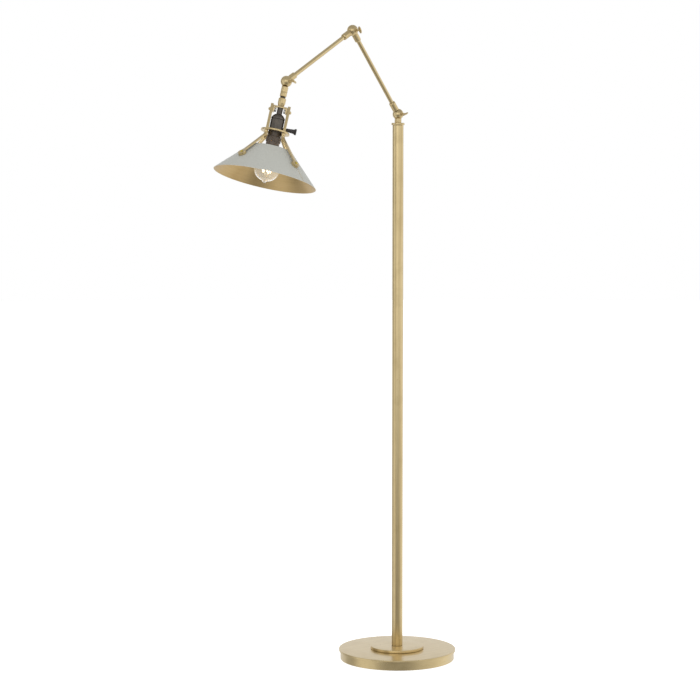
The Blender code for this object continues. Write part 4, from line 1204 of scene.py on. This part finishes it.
def make_bracket():
    """The plate, legs and ring, with their screws, nuts and spacers."""
    piece("bracket_strap", bracket_plate(), SHADE_HEAD, "stem", "shade_head", "bracket_plate")
    piece("bracket_flat_ring", bracket_ring(), SHADE_HEAD, "stem", "shade_head", "bracket_ring")
    head_seat = outward(LEG_OUTSIDE + GAP, PLATE_SCREW)
    nut_seat = outward(TAB_INSIDE - GAP, PLATE_SCREW)
    above_eye = on_cone(EYE_SLANT, STRUT_LIFT + BAR_THICK / 2 + GAP)
    under_shade = on_cone(EYE_SLANT, -SHADE_WALL - GAP)
    plate_grip = LEG_OUTSIDE - TAB_INSIDE + 2 * GAP + PLATE_NUT[1] + NUT_PROUD
    shade_grip = STRUT_LIFT + BAR_THICK / 2 + 2 * GAP + SHADE_WALL + SHADE_NUT[1] + NUT_PROUD
    spacer = (EYE_RADIUS, SCREW_HOLE, GAP, SPACER_THICK)
    kinds = {
        "bracket_leg": (bracket_leg, (), "stem", Matrix(), LEG_ANGLES),
        "plate_screw": (pan_screw, (SCREW_HEAD, plate_grip), "stem", head_seat, LEG_ANGLES),
        "plate_nut": (hexagon_nut, (PLATE_NUT,), "zinc", nut_seat, LEG_ANGLES),
        "eye_spacer": (tube, spacer, "stem", on_cone(EYE_SLANT, 0), EYE_ANGLES),
        "shade_screw": (pan_screw, (SHADE_SCREW_HEAD, shade_grip), "yellow", above_eye, EYE_ANGLES),
        "shade_nut": (hexagon_nut, (SHADE_NUT,), "zinc", under_shade, EYE_ANGLES),
    }
    for kind, (make, sizes, finish, seat, angles) in kinds.items():
        for number, angle in enumerate(angles, 1):
            node = f"{kind}_{number}"
            place = SHADE_HEAD @ turn_matrix(angle, "Z")
            piece(f"{node}_fine", placed(make(*sizes), seat), place, finish, "shade_head", node)


def make_shade():
    """The spun cone with its four screw holes, and the thin strip of its seam."""
    wall = SHADE_WALL / cos(CONE)
    top = (SHADE_TOP - CONE_APEX) * tan(CONE)
    outline = [
        (top, SHADE_TOP),
        (SHADE_RIM_RADIUS, SHADE_RIM),
        (SHADE_RIM_RADIUS - wall, SHADE_RIM),
        (top - wall, SHADE_TOP),
    ]
    cone = turned_wall(outline, SHADE_SOFT, LARGE)
    for angle in EYE_ANGLES:
        hole = disc(SCREW_HOLE, -SHADE_WALL - SLIVER, SLIVER, SMALL)
        cone = cut(cone, placed(placed(hole, on_cone(EYE_SLANT, 0)), turn_matrix(angle, "Z")))
    inside = cone.verts.layers.float.new("inside")
    for vert in cone.verts:
        outside_by = (vert.co.z - CONE_APEX) * tan(CONE) - vert.co.to_2d().length
        share = outside_by / wall * INSIDE_BLEND[0] - INSIDE_BLEND[1]
        vert[inside] = min(1.0, max(0.0, share))
    piece("shade_cone", cone, SHADE_HEAD, "shade", "shade_head", "shade")

    start = EYE_SLANT + EYE_RADIUS + SEAM_MARGIN
    end = (SHADE_RIM_RADIUS - SEAM_MARGIN) / sin(CONE)
    seam = block((-SEAM_WIDTH / 2, start, -SEAM_SINK), (SEAM_WIDTH / 2, end, SEAM_LIFT))
    seam = placed(seam, turn_matrix(-90, "Z"))
    seam = placed(seam, turn_matrix(SEAM_ANGLE, "Z") @ on_cone(0, 0) @ turn_matrix(180, "Z"))
    piece("shade_seam", seam, SHADE_HEAD, "stem", "shade_head", slot="shade_paint")


# ---------------------------------------------------------------- lamp holder and bulb


def make_holder():
    """The cap, and the shell with its facets, its ribbed band and its stepped end."""
    outline = [
        (CAP_NECK, PLATE_END + GAP),
        (CAP_NECK, CAP_NECK_END),
        (CAP_NECK + CAP_FLARE[0], CAP_NECK_END + CAP_FLARE[1]),
        (DOME_RADIUS - DOME_HIP[0], DOME_END - DOME_HIP[1]),
        (DOME_RADIUS, DOME_END - DOME_EDGE),
        (BEAD_RADIUS, DOME_END),
        (BEAD_RADIUS, CAP_END),
        (BEAD_RADIUS - HOLDER_WALL, CAP_END),
        (BEAD_RADIUS - HOLDER_WALL, DOME_END),
        (DOME_RADIUS - DOME_INNER_HIP[0], DOME_END - DOME_INNER_HIP[1]),
        (NIPPLE_HOLE, CAP_NECK_END + CAP_INNER_RISE),
        (NIPPLE_HOLE, PLATE_END + GAP),
    ]
    cap = turned_wall(outline, CAP_SOFT)
    piece("holder_cap", cap, SHADE_HEAD, "bronze", "shade_head", "socket_cap")

    start = CAP_END + GAP
    inner = HOLDER_RADIUS - HOLDER_WALL
    ledge = (BAND_RADIUS - HOLDER_RADIUS) / 2
    facets_start, facets_end = start + HOLDER_TOP_CHAMFER[1], BAND_START - FACET_STOP
    outline = [
        (HOLDER_RADIUS - HOLDER_TOP_CHAMFER[0], start),
        (HOLDER_RADIUS, facets_start),
        (HOLDER_RADIUS, facets_end),
        (HOLDER_RADIUS, BAND_START - ledge),
        (BAND_RADIUS, BAND_START + ledge),
        (BAND_RADIUS, BAND_END - ledge),
        (HOLDER_RADIUS, BAND_END + ledge),
        (HOLDER_RADIUS, HOLDER_END - HOLDER_END_CHAMFER[1]),
        (HOLDER_RADIUS - HOLDER_END_CHAMFER[0], HOLDER_END),
        (inner, HOLDER_END),
        (inner, start),
    ]
    shell = turned_wall(outline, HOLDER_SOFT, BAND_RIBS * 4)
    facet = tau / HOLDER_FACETS

    def facets(angle):
        flat = cos(facet / 2) / cos(angle % facet - facet / 2)
        return HOLDER_RADIUS * (flat - 1) * FACET_DEPTH

    def ribs(angle):
        return RIB_DEPTH * (cos(angle * BAND_RIBS) - 1)

    middle = (inner + HOLDER_RADIUS) / 2
    waved(shell, facets_start + SLIVER, facets_end + SLIVER, middle, facets)
    band = (BAND_START + ledge - HOLDER_SOFT, BAND_END - ledge + HOLDER_SOFT)
    waved(shell, *band, middle, ribs)
    key_turn = turn_matrix(KEY_ANGLE, "Z") @ outward(0, KEY_CENTRE)
    shell = cut(shell, placed(disc(KEY_SHAFT + GAP, 0, BAND_RADIUS + SLIVER, SMALL), key_turn))
    piece("holder_shell", shell, SHADE_HEAD, "bronze", "shade_head", "socket_shell")

    grip = KEY_END - KEY_GRIP
    outline = [
        (0, KEY_START),
        (KEY_SHAFT, KEY_START),
        (KEY_SHAFT, KEY_SHAFT_END),
        (KEY_STEM, KEY_SHAFT_END),
        (KEY_STEM, KEY_SHAFT_END + KEY_STEM_LENGTH),
        (KEY_STEM + KEY_TAPER[0], KEY_END - KEY_TAPER[1]),
        (KEY_FLARE - KEY_CHAMFER, grip - KEY_CHAMFER),
        (KEY_FLARE, grip),
        (KEY_FLARE, KEY_END - KEY_CHAMFER),
        (KEY_FLARE - KEY_CHAMFER, KEY_END),
        (0, KEY_END - KEY_DISH),
    ]
    key = turned(softened(outline, KEY_SOFT, steps=6), KEY_NOTCHES * 4)

    def notches(angle):
        return KEY_NOTCH_DEPTH * (cos(angle * KEY_NOTCHES) - 1)

    waved(key, grip - KEY_SOFT / 2, KEY_END - KEY_DISH, KEY_FLARE - KEY_SOFT, notches)
    key = placed(key, key_turn)
    piece("switch_turn_key", key, SHADE_HEAD, "black", "key", "switch_key")


def bulb_profile(radius, neck):
    """The envelope's outline from its neck to just before its tip."""
    start, drop = Vector((neck, BULB_NECK_START)), Vector((0, BULB_FLOW))
    spread = radians(BULB_SPREAD)
    meet = Vector((radius * cos(spread), BULB_CENTRE - radius * sin(spread)))
    flow = Vector((sin(spread), cos(spread))) * BULB_FLOW
    curve = []
    for step in range(FLOW_STEPS):
        t = step / FLOW_STEPS
        curve.append(
            start * (2 * t**3 - 3 * t**2 + 1)
            + drop * (t**3 - 2 * t**2 + t)
            + meet * (3 * t**2 - 2 * t**3)
            + flow * (t**3 - t**2)
        )
    tip = degrees(acos(TIP_RADIUS / BULB_RADIUS))
    return [tuple(point) for point in curve] + arc((0, BULB_CENTRE), radius, -BULB_SPREAD, tip, 32)


def make_bulb():
    """The clear envelope with its tip, the glass mount, its support wires and the filament."""
    tip_meets = BULB_CENTRE + sqrt(BULB_RADIUS**2 - TIP_RADIUS**2)
    tip = [(TIP_RADIUS * out, tip_meets + TIP_HEIGHT * up) for out, up in TIP_PROFILE]
    outside = bulb_profile(BULB_RADIUS, BULB_NECK_RADIUS)
    inside = bulb_profile(BULB_RADIUS - BULB_WALL, BULB_NECK_RADIUS - BULB_WALL)
    inside.append((tip[-1][0], tip[-1][1] - TIP_WALL))
    envelope = turned(outside + tip + inside[::-1], BULB_SIDES, hollow=True)
    piece("bulb_envelope", envelope, SHADE_HEAD, "glass", "shade_head", "bulb_glass", sharp=60)

    outline = [
        (0, MOUNT_START),
        (MOUNT_FOOT, MOUNT_START),
        (MOUNT_FLARE[0], MOUNT_START + MOUNT_FLARE[1]),
        (MOUNT_STALK[0], MOUNT_END - MOUNT_STALK[1]),
        (MOUNT_BUTTON[0], MOUNT_END - MOUNT_BUTTON[1]),
        (MOUNT_TIP, MOUNT_END),
        (0, MOUNT_END),
    ]
    mount = turned(softened(outline, MOUNT_SOFT, steps=6), SMALL)
    piece("bulb_stem_glass", mount, SHADE_HEAD, "glass", "shade_head", "bulb_mount", sharp=60)

    middle, swing = (FILAMENT_LOW + FILAMENT_HIGH) / 2, (FILAMENT_HIGH - FILAMENT_LOW) / 2
    steps = LOOP_STEPS * FILAMENT_LOOPS
    path = []
    for index in range(steps):
        angle = tau * index / steps
        height = middle + swing * sin(angle * FILAMENT_LOOPS)
        path.append((FILAMENT_RING * cos(angle), FILAMENT_RING * sin(angle), height))
    filament = wire(path, FILAMENT_RADIUS, closed=True, sides=3)
    piece("bulb_filament", filament, SHADE_HEAD, "glow", "shade_head", "filament")

    for index in range(FILAMENT_LOOPS):
        for offset, height in ((0.75, FILAMENT_LOW), (0.25, FILAMENT_HIGH)):
            angle = tau * (index + offset) / FILAMENT_LOOPS
            out = Vector((cos(angle), sin(angle), 0)) * (FILAMENT_RING - FILAMENT_RADIUS)
            foot = Vector((0, 0, MOUNT_END - SUPPORT_SINK))
            hook = Vector((0, 0, height))
            half_way = foot.lerp(hook, 0.5) + out * SUPPORT_SPLAY[0]
            path = [foot, half_way, hook + out * SUPPORT_SPLAY[1], hook + out]
            support = wire(path, SUPPORT_RADIUS)
            name = f"support_wire_{index + 1}_{'low' if offset > 0.5 else 'high'}"
            piece(name, support, SHADE_HEAD, "zinc", "shade_head")


# ---------------------------------------------------------------- studio


def make_floor():
    """A pale floor."""
    bpy.ops.mesh.primitive_circle_add(vertices=96, radius=14, fill_type="NGON")
    floor = bpy.context.object
    floor.name = "studio_floor"
    paint = Finish("pale floor", Base_Color=(0.85, 0.85, 0.85, 1), Roughness=0.9)
    paint.set(Emission_Color=(1, 1, 1, 1), Emission_Strength=0.75)
    floor.data.materials.append(paint.material)
    floor.visible_glossy = False


def make_world():
    """A white backdrop that the camera sees, and a studio that the metal reflects."""
    world = bpy.data.worlds.new("studio")
    bpy.context.scene.world = world
    world.use_nodes = True
    graph = Graph(world.node_tree)
    backdrop = world.node_tree.nodes["Background"]
    backdrop.inputs["Color"].default_value = (1, 1, 1, 1)
    backdrop.inputs["Strength"].default_value = 1.0

    direction = graph.node("ShaderNodeTexCoord", output="Generated")
    turn = {"Rotation": (0, 0, radians(CAMERA_HEADING)), "Vector": direction}
    x, y, z = graph.parts(graph.node("ShaderNodeMapping", {}, turn))
    angle = {"Value": graph.math("ARCTAN2", x, y * -1.0), "From Min": -pi, "From Max": pi}
    round_lamp = graph.node("ShaderNodeMapRange", {}, angle)

    def ramp(levels):
        stops = [((place + 180) / 360, (grey,) * 3) for place, grey in levels]
        return graph.ramp(round_lamp, *stops, blend="EASE")

    below, level = ramp(BELOW_LAMP), ramp(LEVEL_WITH_LAMP)
    walls = graph.mix(graph.steps(z, *BELOW_TO_LEVEL), below, level)
    room = graph.mix(graph.steps(z, *LEVEL_TO_CEILING), walls, (CEILING_GREY,) * 3)
    studio = graph.node("ShaderNodeBackground", {}, {"Color": room})
    to_camera = graph.node("ShaderNodeLightPath", output="Is Camera Ray")
    values = {0: to_camera, 1: studio, 2: Value(graph, backdrop.outputs[0])}
    seen = graph.node("ShaderNodeMixShader", {}, values)
    graph.put(world.node_tree.nodes["World Output"].inputs["Surface"], seen)


def make_panels():
    """Soft light from two large panels, which the metal doesn't show."""
    for name, (place, aim, size, power) in PANELS.items():
        light = bpy.data.lights.new(name, "AREA")
        light.shape = "SQUARE"
        light.size = size
        light.energy = power
        panel = bpy.data.objects.new(name, light)
        panel.location = place
        panel.rotation_euler = (Vector(place) - Vector(aim)).to_track_quat("Z", "Y").to_euler()
        panel.visible_glossy = False
        bpy.context.scene.collection.objects.link(panel)


def make_camera():
    """The camera, level with the shade and looking slightly down."""
    camera = bpy.data.objects.new("camera", bpy.data.cameras.new("camera"))
    camera.data.lens = CAMERA_LENS
    camera.location = CAMERA_AT
    camera.rotation_euler = Euler((radians(90 - CAMERA_DROP), 0, -radians(CAMERA_HEADING)))
    bpy.context.scene.collection.objects.link(camera)
    bpy.context.scene.camera = camera
    bpy.context.scene.view_settings.view_transform = "Standard"


def make_lamp():
    """Every visible piece, from the floor up."""
    finish_kept_nodes()
    make_base()
    make_pole()
    make_pole_head()
    make_arm("lower_arm", LOWER_ARM, LOWER_LENGTH, "lower")
    make_arm("upper_arm", UPPER_ARM, UPPER_LENGTH, "upper")
    make_thumbscrews()
    make_stem()
    make_bracket()
    make_shade()
    make_holder()
    make_bulb()


make_floor()
make_world()
make_panels()
make_camera()
make_lamp()
